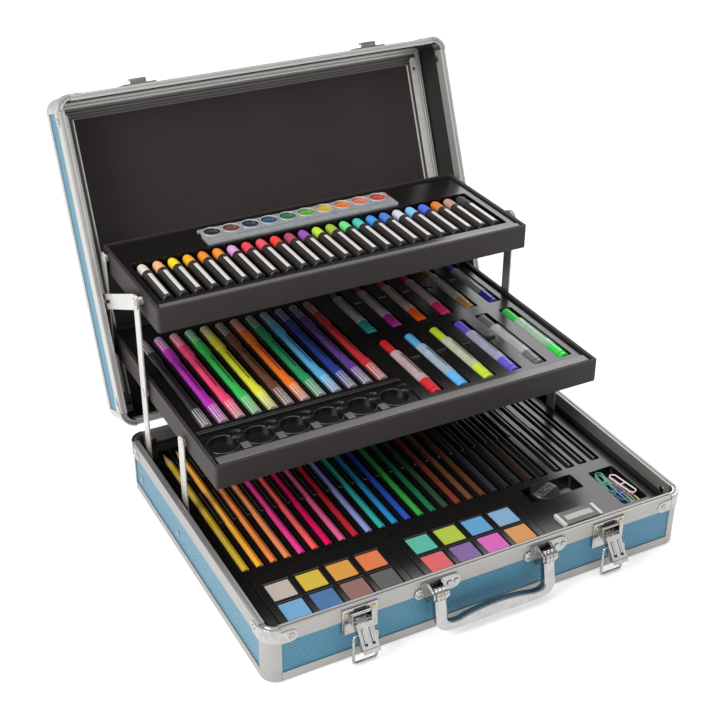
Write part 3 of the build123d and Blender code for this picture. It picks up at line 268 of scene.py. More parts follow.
# Rim rails, edge trims and corner posts: extruded and rolled aluminium, satin anodised, with draw
# lines along each run. Their edges are slightly rounded by the die.
RAIL_REACH = 0.011
LINES_PER_METRE = 2600
BEVEL_ANGLE = radians(30)
SMOOTH_ANGLE, RING_ANGLE = radians(38), radians(50)
SAME_POINT, SAME_PLANE = 0.000002, radians(1)


def alone(piece):
    """Makes one object the only one selected, and the active one."""
    bpy.ops.object.select_all(action="DESELECT")
    piece.hide_set(False)
    piece.select_set(True)
    bpy.context.view_layer.objects.active = piece


def applied(piece, kind, **settings):
    """Adds one modifier and applies it."""
    alone(piece)
    made = piece.modifiers.new("made", kind)
    for name, value in settings.items():
        setattr(made, name, value)
    bpy.ops.object.modifier_apply(modifier="made")


def smooth(piece, angle=SMOOTH_ANGLE):
    """Smooth shading over the rounded edges, with the broad flats kept flat."""
    alone(piece)
    bpy.ops.object.shade_smooth_by_angle(angle=angle)
    applied(piece, "WEIGHTED_NORMAL", keep_sharp=True, weight=90)


def copied(node, name):
    """Copy of a solid with its doubled points merged and its flat faces whole."""
    alone(frame["nodes"][node])
    bpy.ops.object.duplicate()
    piece = bpy.context.active_object
    piece.name = piece.data.name = name
    del piece["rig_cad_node"]
    bpy.ops.object.mode_set(mode="EDIT")
    bpy.ops.mesh.select_all(action="SELECT")
    bpy.ops.mesh.remove_doubles(threshold=SAME_POINT)
    bpy.ops.mesh.dissolve_limited(angle_limit=SAME_PLANE)
    bpy.ops.object.mode_set(mode="OBJECT")
    return piece


def stands_for(piece, node, finish, width=0.0, steps=2):
    """Rounds a piece's edges, finishes it and lets it stand for a solid."""
    if width:
        applied(piece, "BEVEL", width=width, segments=steps, angle_limit=BEVEL_ANGLE)
    smooth(piece)
    dress(piece, finish)
    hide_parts(node)
    return piece


def eased(node, name, width, finish, steps=2):
    """Copy of a solid with its edges rounded, which stands for it."""
    return stands_for(copied(node, name), node, finish, width, steps)


def rail_finish(name, lid):
    """Satin aluminium with draw lines along each run. The lid's copy is painted lighter: painted
    light on the same metal.
    """
    rail = Finish(name, Metallic=0.5 if lid else 0.7)
    place = rail.place(lid)
    x, y, z = rail.axes(place)
    on_side = abs(x) > HALF_WIDTH - RAIL_REACH
    across = on_side * x + (1 - on_side) * y
    section = rail.node(
        "ShaderNodeCombineXYZ", inputs={0: across * LINES_PER_METRE, 1: z * LINES_PER_METRE}
    )
    lines = rail.node(
        "ShaderNodeTexNoise", {"noise_dimensions": "2D"}, {"Vector": section, "Scale": 1.0}
    )
    cloud = rail.grain(place, 0.03)
    # The lid's swatches are lighter than the base's as painted light; both rails are the same
    # aluminium.
    dark, light = ("a3a19e", "c6c4c1") if lid else ("908e8b", "b1afac")
    return rail.set(
        Base_Color=rail.mix(cloud * 0.4 + lines * 0.6, tint(dark), tint(light)),
        Roughness=0.34 + 0.2 * lines,
        Normal=rail.bump(lines, 0.00002, 0.6),
    )


base_rail = rail_finish("aluminium_base", False)
lid_rail = rail_finish("aluminium_lid", True)
for half, rail in (("base", base_rail), ("lid", lid_rail)):
    eased(half + "_rails", half + "_rim_rails", 0.0005, rail, steps=3)
    eased(half + "_edge_trims", half + "_outer_trims", 0.00012, rail)
    eased(half + "_corner_posts", half + "_round_posts", 0.0002, rail)

# Corner caps and the brackets behind them: die-cast caps, nickel plated, standing a little proud of
# the rails, and pressed black brackets that hold the boards together inside each corner.
CAP_RADIUS = 0.012
CAP_PROUD = 0.0009
NEAR_CORNER = 0.1
BRACKET_RIBS = 0.0014
cap_plate = Finish("nickel_cap", Metallic=0.9)
place = cap_plate.place()
cast = cap_plate.grain(place, 0.004)
cap_plate.set(
    Base_Color=cap_plate.mix(cast, tint("8f8e8c"), tint("bdbcba")),
    Roughness=0.16 + 0.16 * cast,
    Normal=cap_plate.bump(cast, 0.00006, 0.5),
)
black_bracket = Finish("black_bracket", tint("34302e"), Metallic=0.6, Roughness=0.42)
height, = black_bracket.axes(black_bracket.place(), "Z")
black_bracket.set(Normal=black_bracket.bump(height.wave(BRACKET_RIBS), 0.0002))


def swung(piece, turn):
    """Turns a lid piece about the hinge: LID_OPEN shuts it, and its opposite opens it again."""
    to_hinge = Matrix.Translation(-HINGE)
    piece.data.transform(to_hinge.inverted() @ Matrix.Rotation(turn, 4, "X") @ to_hinge)


def stretched(piece, growth, about=(0, 0, 0)):
    """Scales a whole piece, or the points that are selected, about a spot."""
    alone(piece)
    bpy.ops.object.mode_set(mode="EDIT")
    bpy.ops.mesh.select_mode(type="VERT")
    bpy.ops.transform.resize(value=growth, center_override=about)
    bpy.ops.object.mode_set(mode="OBJECT")


for half in ("base", "lid"):
    caps = copied(half + "_corner_caps", half + "_cast_caps")
    if half == "lid":
        swung(caps, LID_OPEN)
    for end_x in (-1, 1):
        for end_y in (-1, 1):
            centre_x = end_x * (HALF_WIDTH - CAP_RADIUS)
            centre_y = end_y * (HALF_DEPTH - CAP_RADIUS)
            alone(caps)
            bpy.ops.object.mode_set(mode="EDIT")
            bpy.ops.mesh.select_all(action="DESELECT")
            bpy.ops.object.mode_set(mode="OBJECT")
            for point in caps.data.vertices:
                ends = point.co.x * end_x, point.co.y * end_y
                point.select = min(ends) > NEAR_CORNER
            growth = 1 + CAP_PROUD / CAP_RADIUS
            stretched(caps, (growth, growth, 1), (centre_x, centre_y, 0))
    if half == "lid":
        swung(caps, -LID_OPEN)
    stands_for(caps, half + "_corner_caps", cap_plate, 0.0007, 3)
    dress(frame["nodes"][half + "_inner_brackets"], black_bracket)

# Rim rivets: small domed steel rivets through rail and board beside each corner. Each sits inside a
# round ear of the corner cap.
RIVET_FROM_CORNER, RIVET_DROP, RIM_GAP = 0.020, 0.0085, 0.0006
EAR_RADIUS, EAR_THICK = 0.0052, 0.0005
steel = Finish("bright_steel", Metallic=1.0)
place = steel.place()
scuff = steel.grain(place, 0.003)
steel.set(
    Base_Color=steel.mix(scuff, tint("827f7a"), tint("b4b1ac")),
    Roughness=0.16 + 0.16 * scuff,
)


def joined(pieces, name):
    """Joins pieces into the first of them."""
    bpy.ops.object.select_all(action="DESELECT")
    for piece in pieces:
        piece.select_set(True)
    bpy.context.view_layer.objects.active = pieces[0]
    if len(pieces) > 1:
        bpy.ops.object.join()
    pieces[0].name = pieces[0].data.name = name
    return pieces[0]


def settled():
    """The object just added, with its place and turn put into its mesh."""
    bpy.ops.object.transform_apply(location=True, rotation=True, scale=True)
    return bpy.context.active_object


def rod(radius, length, spot, turn=(0, 0, 0), sides=32):
    """Round bar along its own Z, turned and set at a spot."""
    bpy.ops.object.select_all(action="DESELECT")
    bpy.ops.mesh.primitive_cylinder_add(
        vertices=sides, radius=radius, depth=length, location=spot, rotation=turn,
    )
    return settled()


def block(size, spot, turn=(0, 0, 0)):
    """Square bar of three sizes, turned and set at a spot."""
    bpy.ops.object.select_all(action="DESELECT")
    bpy.ops.mesh.primitive_cube_add(size=1, location=spot, rotation=turn)
    bpy.context.active_object.scale = size
    return settled()


def rounded(piece, width, steps=2):
    """Rounds the edges of a loose piece and shades it."""
    applied(piece, "BEVEL", width=width, segments=steps, angle_limit=BEVEL_ANGLE)
    smooth(piece)
    return piece


def fitted(piece, body, finish):
    """Finishes a loose piece and fixes it to a moving or standing body."""
    dress(piece, finish)
    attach(piece, body)
    return piece


ALONG_X, ALONG_Y = (0, radians(90), 0), (radians(90), 0, 0)
STRAP = RIVET_FROM_CORNER - CAP_RADIUS
FRONT_EAR = (HALF_WIDTH - RIVET_FROM_CORNER, HALF_DEPTH + EAR_THICK / 2)
SIDE_EAR = (HALF_WIDTH + EAR_THICK / 2, HALF_DEPTH - RIVET_FROM_CORNER)
for half, level in (("base", RIM - RIVET_DROP), ("lid", RIM + RIM_GAP + RIVET_DROP)):
    eased(half + "_rivets", half + "_domed_rivets", 0.0004, steel, steps=3)
    ears = []
    for end_x in (-1, 1):
        for end_y in (-1, 1):
            for spot, turn, size, shift in (
                (FRONT_EAR, ALONG_Y, (STRAP, EAR_THICK), (end_x * STRAP / 2, 0)),
                (SIDE_EAR, ALONG_X, (EAR_THICK, STRAP), (0, end_y * STRAP / 2)),
            ):
                x, y = end_x * spot[0], end_y * spot[1]
                disc = rod(EAR_RADIUS, EAR_THICK, (x, y, level), turn)
                strap = block((*size, 2 * EAR_RADIUS), (x + shift[0], y + shift[1], level))
                applied(disc, "BOOLEAN", operation="UNION", object=strap)
                bpy.data.objects.remove(strap)
                ears.append(rounded(disc, 0.00015))
    ears = joined(ears, half + "_cap_ears")
    if half == "lid":
        swung(ears, -LID_OPEN)
    fitted(ears, half, cap_plate)

# Lid lining: thin board covered with matt black paper, pressed into the lid and edged by flat
# painted steel channels, in which a bright stay bar lies at each side.
lining = Finish("black_paper", LINING_BLACK)
place = lining.place(True)
fibre = lining.grain(place, 0.0006, 4.0)
cloud = lining.grain(place, 0.06)
lining.set(
    Base_Color=lining.mix(cloud * 0.6 + fibre * 0.4, tint("231d1d"), tint("373030")),
    Roughness=0.78 + 0.14 * fibre,
    Normal=lining.bump(fibre, 0.00006, 0.5),
)
dress(frame["nodes"]["lid_lining"], lining)
CHANNEL_INNER_X, CHANNEL_INNER_Y = 0.161, 0.118
CHANNEL_WIDTH, CHANNEL_LIP = 0.015, 0.0028
CHANNEL_GROWTH = (1.01, 1.025, 1)
channel_paint = Finish("channel_steel", Metallic=0.35)
place = channel_paint.place(True)
x, y = channel_paint.axes(place, "XY")
across = (abs(x) - CHANNEL_INNER_X).larger(abs(y) - CHANNEL_INNER_Y)
lip = abs(across - CHANNEL_WIDTH / 2) > CHANNEL_WIDTH / 2 - CHANNEL_LIP
rolled = across.wave(CHANNEL_LIP)
# The lips are painted light and the floor between them dark: painted light and shade on one painted
# steel. The rolled bands are painted highlights and shade across each bend.
channel_paint.set(
    Base_Color=channel_paint.mix(
        lip, channel_paint.mix(rolled, tint("454341"), tint("6a6765")),
        channel_paint.mix(rolled, tint("d6d4d0"), tint("b5b3b0")),
    ),
    Roughness=0.3 + 0.14 * rolled,
    Normal=channel_paint.bump(rolled, 0.0002),
)
channels = copied("lid_channels", "lining_channels")
swung(channels, LID_OPEN)
stretched(channels, CHANNEL_GROWTH)
swung(channels, -LID_OPEN)
stands_for(channels, "lid_channels", channel_paint, 0.00012)

# Butt hinges behind the case: two of them, with knuckled leaves folded from plated steel sheet,
# fixed to the rails, and one pin each.
eased("hinge_base_leaves", "hinge_lower_leaves", 0.0002, steel)
eased("hinge_lid_leaves", "hinge_upper_leaves", 0.0002, steel)

# Latches: pressed chromed plates with two brass screws and a folded bracket that holds a hinged
# lever. The lever is embossed with two ridges and carries a round wire bail for the lid's hook.
FRONT_FACE = -HALF_DEPTH - 0.0012
LATCH_X = 0.110
LEVER_PIVOT = Vector((0, -0.145, 0.0355))
LEVER_LEAN = radians(37)
LEVER_FACE = 0.0036
SCREW_SPOTS = ((-0.0108, 0.0425), (0.0112, 0.0432))
CHEEK_X, RIDGE_X = 0.0079, 0.0031
chrome = Finish("chrome", Metallic=1.0)
smear = chrome.grain(chrome.place(), 0.006)
chrome.set(
    Base_Color=chrome.mix(smear, tint("858483"), tint("bcbbb9")),
    Roughness=0.1 + 0.18 * smear,
)
brass = Finish("brass_screw", tint("a8986f"), Metallic=1.0)
brass.set(Roughness=0.2 + 0.15 * brass.grain(brass.place(), 0.001))
# Near-black finish for the latch slot and the lever dimples: painted shade in the recesses, not a
# dark material.
painted_recess_shade = Finish("painted_recess_shade", tint("181716"))
painted_recess_shade.set(Roughness=0.5 + 0.2 * painted_recess_shade.grain(painted_recess_shade.place(), 0.002))
hook_chrome = Finish("hook_chrome", Metallic=1.0, Roughness=0.14)
shade = hook_chrome.grain(hook_chrome.place(True), 0.005)
hook_chrome.set(Base_Color=hook_chrome.mix(shade, tint("4f4e4c"), tint("7d7c7a")))
eased("lid_catches", "hooked_catches", 0.0004, hook_chrome)
eased("latch_plates", "latch_back_plates", 0.0004, chrome)
lean_sin, lean_cos = sin(LEVER_LEAN), cos(LEVER_LEAN)
lever_turn = Matrix(((1, 0, 0), (0, lean_sin, -lean_cos), (0, lean_cos, lean_sin))).to_4x4()
for side, end in (("left", -1), ("right", 1)):
    eased("latch_lever_" + side, "draw_lever_" + side, 0.0004, chrome)
    eased("latch_bail_" + side, "wire_bail_" + side, 0.00005, chrome)
    at = end * LATCH_X
    screws = [
        rounded(rod(0.0019, 0.0009, (at + step, FRONT_FACE - 0.0003, z), ALONG_Y), 0.0003)
        for step, z in SCREW_SPOTS
    ]
    fitted(joined(screws, "latch_screws_" + side), "base", brass)
    # The slot is a thin near-black block on the plate: painted shade.
    slot = block((0.0098, 0.0006, 0.0026), (at, FRONT_FACE - 0.0001, 0.0449))
    slot.name = "latch_slot_" + side
    fitted(slot, "base", painted_recess_shade)
    folds = [rounded(rod(0.0013, 0.0168, (at, FRONT_FACE - 0.0014, 0.0424), ALONG_X), 0.0003)]
    for cheek in (-CHEEK_X, CHEEK_X):
        spot = (at + cheek, FRONT_FACE - 0.0019, 0.0384)
        folds.append(rounded(block((0.001, 0.0042, 0.0082), spot), 0.0004))
    fitted(joined(folds, "latch_fold_" + side), "base", chrome)
    ridges = [
        rounded(block((0.0019, 0.0125, 0.0008), (step, -0.0112, LEVER_FACE + 0.0003)), 0.00035)
        for step in (-RIDGE_X, RIDGE_X)
    ]
    end_lip = block((0.0134, 0.0032, 0.0011), (0, -0.0219, LEVER_FACE + 0.0002))
    ridges.append(rounded(end_lip, 0.0004))
    # The dimples are near-black discs on the lever: painted shade.
    dimples = [
        rod(0.0011, 0.0004, (step, -0.0168, LEVER_FACE + 0.0007)) for step in (-RIDGE_X, RIDGE_X)
    ]
    for pieces, name, finish in (
        (ridges, "lever_ridges_", chrome), (dimples, "lever_dimples_", painted_recess_shade),
    ):
        made = joined(pieces, name + side)
        spot = LEVER_PIVOT + Vector((at, 0, 0))
        made.data.transform(Matrix.Translation(spot) @ lever_turn)
        fitted(made, "latch_lever_" + side, finish)

# Carrying handle: chromed cast brackets with two lugs each, ringed barrels that turn between the
# lugs, and a polished flat grip between the arms.
ARM_X, ARM_Y, ARM_Z = 0.048, -0.149, 0.0395
GRIP_TOP, GRIP_SLIMMED = 0.0195, 0.76


def ring(radius, wire, spot, turn=(0, 0, 0), sides=32, wire_sides=8):
    """Round wire ring, turned and set at a spot."""
    bpy.ops.object.select_all(action="DESELECT")
    bpy.ops.mesh.primitive_torus_add(
        location=spot, rotation=turn, major_segments=sides, minor_segments=wire_sides,
        major_radius=radius, minor_radius=wire,
    )
    return settled()


eased("handle_brackets", "handle_lug_brackets", 0.0006, chrome, steps=3)
ears = []
for arm_x in (-ARM_X, ARM_X):
    ears.append(rounded(rod(0.0046, 0.0018, (arm_x - 0.0122, -0.1416, 0.0384), ALONG_Y), 0.0005))
    ears.append(ring(0.0020, 0.0007, (arm_x - 0.0124, -0.1426, 0.0382), ALONG_Y, 28, 10))
fitted(joined(ears, "bracket_left_ears"), "base", chrome)
handle_satin = Finish("handle_satin", Metallic=1.0)
satin = handle_satin.grain(handle_satin.place(), 0.006)
handle_satin.set(
    Base_Color=handle_satin.mix(satin, tint("949493"), tint("b9b9b7")),
    Roughness=0.1 + 0.14 * satin,
)
grip = copied("handle_bail", "carrying_handle")
for point in grip.data.vertices:
    point.select = point.co.z < GRIP_TOP
stretched(grip, (1, 1, GRIP_SLIMMED), (0, 0, GRIP_TOP))
stands_for(grip, "handle_bail", handle_satin, 0.0012, 3)
barrels = []
for arm_x in (-ARM_X, ARM_X):
    barrels.append(rod(0.0047, 0.0094, (arm_x, ARM_Y, ARM_Z), ALONG_X))
    for step in (-0.0031, 0, 0.0031):
        barrels.append(rounded(rod(0.0052, 0.0022, (arm_x + step, ARM_Y, ARM_Z), ALONG_X), 0.0004))
barrels = joined(barrels, "handle_barrels")
smooth(barrels)
fitted(barrels, "handle", handle_satin)

# Folding links: flat steel bars with round ends, zinc plated, with flat rivets as pivots, and a
# slotted stay from each long bar to the lid. Foot rivets show on the side boards as small heads.
FOOT_BACK_Y, FOOT_FRONT_Y, FOOT_Z = 0.115, 0.032, 0.019
HEAD_RADIUS, HEAD_THICK = 0.0024, 0.0006
BAR_GROWTH = (1.01, 1.06, 1)
link_plate = Finish("zinc_plate", Metallic=0.55)
place = link_plate.place()
spangle = link_plate.grain(place, 0.01)
lines = link_plate.grain(place, 0.0015, stretch=(1, 1, 0.08))
link_plate.set(
    Base_Color=link_plate.mix(spangle, tint("b2b0ac"), tint("cdcbc7")),
    Roughness=0.3 + 0.16 * lines,
)
for side in ("left", "right"):
    for bar in ("long_arm_", "front_arm_", "rear_arm_", "stay_"):
        eased(bar + side, bar + "bar_" + side, 0.00018, link_plate)
bright_bar = Finish("bright_bar", Metallic=0.2)
shade = bright_bar.grain(bright_bar.place(True), 0.004)
bright_bar.set(
    Base_Color=bright_bar.mix(shade, tint("d8d6d2"), tint("f0eeea")),
    Roughness=0.3 + 0.2 * shade,
)
bars = copied("lid_stay_bars", "lining_stay_bars")
swung(bars, LID_OPEN)
stretched(bars, BAR_GROWTH)
swung(bars, -LID_OPEN)
stands_for(bars, "lid_stay_bars", bright_bar, 0.0001)
heads = []
for end in (-1, 1):
    for y in (FOOT_BACK_Y, FOOT_FRONT_Y):
        spot = (end * (HALF_WIDTH - HEAD_THICK), y, FOOT_Z)
        heads.append(rounded(rod(HEAD_RADIUS, HEAD_THICK, spot, ALONG_X), 0.0002))
fitted(joined(heads, "foot_rivet_heads"), "base", steel)

# Tray boxes: shallow open boxes of board, covered with dark leather-grained paper and lightly
# rounded at the corners.
PORES_PER_METRE = 900.0
tray_paper = Finish("tray_paper")
place = tray_paper.place()
grain = tray_paper.node(
    "ShaderNodeTexVoronoi", {"feature": "DISTANCE_TO_EDGE"},
    {"Vector": place, "Scale": PORES_PER_METRE},
)
cloud = tray_paper.grain(place, 0.04)
pores = tray_paper.grain(place, 0.0016, 3.0)
tray_paper.set(
    Base_Color=tray_paper.mix(0.45 * cloud + 0.55 * pores, tint("120e0d"), tint("2f2725")),
    Roughness=0.5 + 0.25 * pores,
    Normal=tray_paper.bump(0.6 * grain + 0.4 * pores, 0.0005, 0.55),
)
eased("mid_tray_box", "middle_tray_box", 0.0007, tray_paper, steps=3)
eased("upper_tray_box", "top_tray_box", 0.0007, tray_paper, steps=3)

# Moulded inserts: thin black plastic sheet, vacuum formed down into a pocket for every tool, with
# ribs between the pencils, tabs that grip the short markers and a raised rim round each well.
PENCIL_FIRST_X, PENCIL_PITCH, PENCIL_COUNT = -0.1614, 0.0117, 24
BASE_TOP, MID_TOP = 0.037, 0.1155
RIB_RUNS = ((0.0055, 0.050), (0.072, 0.104))
TAB_PITCH, TAB_ROWS = 0.0248, ((0.0408, 4, 0.0456), (0.0417, 5, 0.1533))
WELL_COUNT, WELL_FIRST_X, WELL_PITCH = 6, -0.153, 0.0296
BETWEEN_WELLS_X = WELL_FIRST_X + WELL_PITCH / 2
STEP_X, STEP_LENGTH, STEP_WIDTH = -0.0775, 0.178, 0.0016
black_sheet = Finish("black_gloss", tint("121110"), Specular_IOR_Level=0.65)
place = black_sheet.place()
speckle = black_sheet.grain(place, 0.0008, 3.0)
ripple = black_sheet.grain(place, 0.018)
black_sheet.set(
    Roughness=0.13 + 0.17 * speckle,
    Normal=black_sheet.bump(0.7 * ripple + 0.3 * speckle, 0.0002, 0.22),
)
eased("base_insert", "base_moulded_insert", 0.0009, black_sheet, steps=3)
eased("mid_tray_insert", "middle_moulded_insert", 0.0009, black_sheet, steps=3)
eased("upper_tray_insert", "top_moulded_insert", 0.0009, black_sheet, steps=3)
ribs = []
for index in range(PENCIL_COUNT + 2):
    x = PENCIL_FIRST_X + (index + 0.5) * PENCIL_PITCH
    for front, back in RIB_RUNS:
        rib = block((0.0036, back - front, 0.006), (x, (front + back) / 2, BASE_TOP - 0.0018))
        ribs.append(rounded(rib, 0.0011, 3))
fitted(joined(ribs, "pencil_ribs"), "base", black_sheet)
tabs = []
for first_x, count, y in TAB_ROWS:
    for index in range(count):
        tab = block((0.0086, 0.0032, 0.0034), (first_x + index * TAB_PITCH, y, MID_TOP + 0.0001))
        tabs.append(rounded(tab, 0.0009, 3))
for index in range(WELL_COUNT):
    well_x, arc_x = (first + index * WELL_PITCH for first in (WELL_FIRST_X, BETWEEN_WELLS_X))
    tabs.append(ring(0.0124, 0.0008, (well_x, 0, MID_TOP - 0.0013), sides=48, wire_sides=10))
    for radius in (0.0056, 0.0036):
        tabs.append(ring(radius, 0.0006, (arc_x, 0.0085, MID_TOP - 0.0008)))
for y, height in ((0.0195, 0.0012), (0.0225, 0.0009)):
    step = block((STEP_LENGTH, STEP_WIDTH, height), (STEP_X, y, MID_TOP + height / 2 - 0.0003))
    tabs.append(rounded(step, 0.0005))
tabs = joined(tabs, "marker_tabs_and_well_rims")
smooth(tabs, RING_ANGLE)
fitted(tabs, "mid_tray", black_sheet)
FLANGE_THICK = 0.0016
# The flanges and well bridges are the inserts' black sheet; their grey is a painted reflection of
# the lights.
flange_reflection = Finish("lit_flange", tint("575553"), Specular_IOR_Level=0.7)
speckle = flange_reflection.grain(flange_reflection.place(), 0.002, 3.0)
flange_reflection.set(Roughness=0.24 + 0.14 * speckle)
for body, name, half, front, back, top in (
    ("mid_tray", "middle_insert_flange", 0.1668, -0.0268, -0.0172, 0.1174),
    ("upper_tray", "top_insert_flange", 0.1655, 0.0845, 0.0902, 0.1949),
):
    size = (2 * half, back - front, FLANGE_THICK)
    flange = block(size, (0, (front + back) / 2, top - FLANGE_THICK / 2))
    flange.name = name
    fitted(rounded(flange, 0.0007, 3), body, flange_reflection)
bridges = []
for index in range(WELL_COUNT - 1):
    spot = (BETWEEN_WELLS_X + index * WELL_PITCH, -0.0096, MID_TOP - 0.0001)
    bridges.append(rounded(block((0.0068, 0.0085, 0.0011), spot), 0.0005))
fitted(joined(bridges, "well_bridges"), "mid_tray", flange_reflection)

# Colour pencils: six-sided cedar pencils in coloured lacquer, sharpened to a coloured lead.
PENCIL_FRONT, PENCIL_LENGTH, PENCIL_POINT = -0.0551, 0.1765, 0.020
PENCIL_RADIUS, PENCIL_Z = 0.0035, 0.0341
PENCIL_TIP = PENCIL_FRONT + PENCIL_LENGTH
PENCIL_COLOURS = (
    "dcb420", "eaa024", "e07a30", "e08450", "e63a8c", "ec5a5c", "d8125c", "dc5a8c",
    "b8242e", "8a92cc", "2fa79c", "2a86c0", "2850b4", "35a046", "1d7048", "2f4a3a",
    "7c3428", "6c452b", "5a3a22", "2f2c3a", "24242b", "2a2a2c", "35281f", "1c1c1f",
)
CONE_SLOPE = PENCIL_RADIUS / PENCIL_POINT
CONE_DEPTH = PENCIL_LENGTH * 1.2
LEAD_LENGTH, LACQUER_EDGE, SPARE_LENGTH = 0.0055, 0.00008, 0.004
lacquer = Finish("pencil_lacquer", Coat_Roughness=0.08)
place = lacquer.place()
x, y, z = lacquer.axes(place)
colours, from_axis = lacquer.lined_up(x, PENCIL_FIRST_X, PENCIL_PITCH, PENCIL_COLOURS)
height = z - PENCIL_Z
from_middle = (from_axis * from_axis + height * height) ** 0.5
to_tip = PENCIL_TIP - y
bare = from_middle > to_tip * CONE_SLOPE - LACQUER_EDGE
lead = to_tip < LEAD_LENGTH
cedar = lacquer.grain(place, 0.0012, stretch=(1, 0.12, 1))
wood = lacquer.mix(cedar, tint("b98c5e"), tint("d8ba8c"))
lacquer.set(
    Base_Color=lacquer.mix(bare * (1 - lead), colours, wood),
    Roughness=0.2 + 0.4 * bare,
    Coat_Weight=1 - bare,
)
blank = PENCIL_LENGTH + SPARE_LENGTH
spot = (PENCIL_FIRST_X, PENCIL_FRONT + blank / 2, PENCIL_Z)
pencil = rod(PENCIL_RADIUS, blank, spot, (radians(-90), 0, 0), 6)
applied(pencil, "BEVEL", width=0.0004, segments=2)
bpy.ops.object.select_all(action="DESELECT")
bpy.ops.mesh.primitive_cone_add(
    vertices=32, radius1=CONE_SLOPE * CONE_DEPTH, radius2=0.00025, depth=CONE_DEPTH,
    rotation=(radians(-90), 0, 0),
    location=(PENCIL_FIRST_X, PENCIL_TIP - CONE_DEPTH / 2, PENCIL_Z),
)
cutter = settled()
applied(pencil, "BOOLEAN", operation="INTERSECT", object=cutter)
bpy.data.objects.remove(cutter)


def repeated(piece, moves, name):
    """Copies of one modelled piece, each moved by an offset, joined into one object."""
    made = [piece]
    for move in moves[1:]:
        alone(piece)
        bpy.ops.object.duplicate()
        twin = bpy.context.active_object
        twin.data.transform(Matrix.Translation(move))
        made.append(twin)
    piece.data.transform(Matrix.Translation(moves[0]))
    return joined(made, name)


along_row = [(index * PENCIL_PITCH, 0, 0) for index in range(PENCIL_COUNT)]
pencils = repeated(pencil, along_row, "coloured_pencils")
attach(pencils, "base")
stands_for(pencils, "colour_pencils", lacquer)

# Drawing pencils and brush: three pencils in black lacquer and a brush with a black handle, laid in
# the grooves at the right end of the row.
pencil_black = Finish("pencil_black", tint("141414"), Coat_Weight=0.4)
shade = pencil_black.grain(pencil_black.place(), 0.02)
pencil_black.set(Roughness=0.2 + 0.2 * shade)
eased("drawing_pencils", "black_pencils_and_brush", 0.0003, pencil_black)

# Watercolour palettes: two moulded black plastic trays. Each holds eight square cakes of pressed
# paint in its cells, in two rows of four.
eased("paint_palettes", "palette_trays", 0.0006, black_sheet, steps=3)
CAKE_Y, CAKE_PITCH, ROW_CAKES = -0.1008, 0.0252, 4
LEFT_CAKES_X, RIGHT_CAKES_X, BETWEEN_X = -0.1604, -0.0409, -0.05
CAKE_COLOURS = (
    "a89c90", "bd9f05", "c28318", "ca6322", "5790b6", "235a8c", "7a5045", "41403f",
    "3aa28c", "9cb01c", "468eb8", "6e97b8", "c64d4e", "6f4c86", "c24fa2", "c28440",
)
paint = Finish("paint_cake")
place = paint.place()
x, y = paint.axes(place, "XY")
back_row = y > CAKE_Y
left_box = x < BETWEEN_X
left_cell = (x - LEFT_CAKES_X) / CAKE_PITCH
right_cell = (x - RIGHT_CAKES_X) / CAKE_PITCH + 2 * ROW_CAKES
cell = left_cell * left_box + (1 - left_box) * right_cell + (1 - back_row) * ROW_CAKES
pressed = paint.row(cell / len(CAKE_COLOURS), CAKE_COLOURS)
dust = paint.grain(place, 0.0015, 4.0)
cloud = paint.grain(place, 0.012)
paint.set(
    Base_Color=paint.mix(dust * 0.04 + cloud * 0.02, pressed, (1.0, 1.0, 1.0)),
    Roughness=0.55 + 0.3 * dust,
    Normal=paint.bump(0.5 * dust + 0.5 * cloud, 0.0003, 0.5),
)
eased("paint_cakes", "pressed_paint_cakes", 0.0008, paint, steps=3)

# Sharpener, eraser and clips in their compartments at the right. The eraser's paper sleeve is left
# plain, with one pale stripe.
SHARPENER = (0.096, -0.0748)
sharpener_black = Finish("sharpener_black", tint("1c1b1a"), Roughness=0.22)
disc = rounded(rod(0.0122, 0.0078, (*SHARPENER, 0.0339), sides=64), 0.0009, 3)
disc.name = "round_sharpener"
dress(disc, sharpener_black)
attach(disc, "base")
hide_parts("sharpener")
turn = (0, 0, radians(20))
wedge = rounded(block((0.0225, 0.0085, 0.0086), (*SHARPENER, 0.0338), turn), 0.0006)
blade = rounded(block((0.0178, 0.0054, 0.0006), (*SHARPENER, 0.0384), turn), 0.0002)
bolt = rounded(rod(0.0016, 0.0008, (*SHARPENER, 0.0389)), 0.0003)
fitted(joined([wedge, blade, bolt], "sharpener_wedge"), "base", steel)
ERASER_X, ERASER_Y, ERASER_SLEEVE = 0.1003, -0.1158, 0.0318
STRIPE_LENGTH, STRIPE_WIDTH = 0.025, 0.006
rubber = Finish("eraser_rubber")
place = rubber.place()
x, y = rubber.axes(place, "XY")
soft = rubber.grain(place, 0.002)
sleeve = abs(x - ERASER_X) < ERASER_SLEEVE / 2
stripe = (abs(y - ERASER_Y) < STRIPE_WIDTH / 2) * (abs(x - ERASER_X) < STRIPE_LENGTH / 2)
sleeved = rubber.mix(stripe, tint("666461"), tint("aeaca8"))
rubber.set(
    Base_Color=rubber.mix(sleeve, rubber.mix(soft, tint("b9b9b6"), tint("cfcfcc")), sleeved),
    Roughness=0.45 + 0.3 * soft,
)
eased("eraser", "sleeved_eraser", 0.0006, rubber, steps=3)
CLIP_COLOURS = ("4fae5a", "2e6fb0", "7fc4dc", "d8bd45", "a23339", "3f9a4a", "3f78b8", "dededc")
CLIP_FLOOR, CLIP_STEP = 0.03, 0.00085
clip_coat = Finish("clip_coat", Roughness=0.3)
height, = clip_coat.axes(clip_coat.place(), "Z")
layer = (height - CLIP_FLOOR) / (len(CLIP_COLOURS) * CLIP_STEP)
clip_coat.set(Base_Color=clip_coat.row(layer, CLIP_COLOURS))
eased("paper_clips", "coated_clips", 0.0001, clip_coat)

# Long markers: slim-necked plastic pens with a clear ribbed cap at each end over a coloured barrel,
# and a plain dark stripe along the neck.
TURNED_SIDES = 28


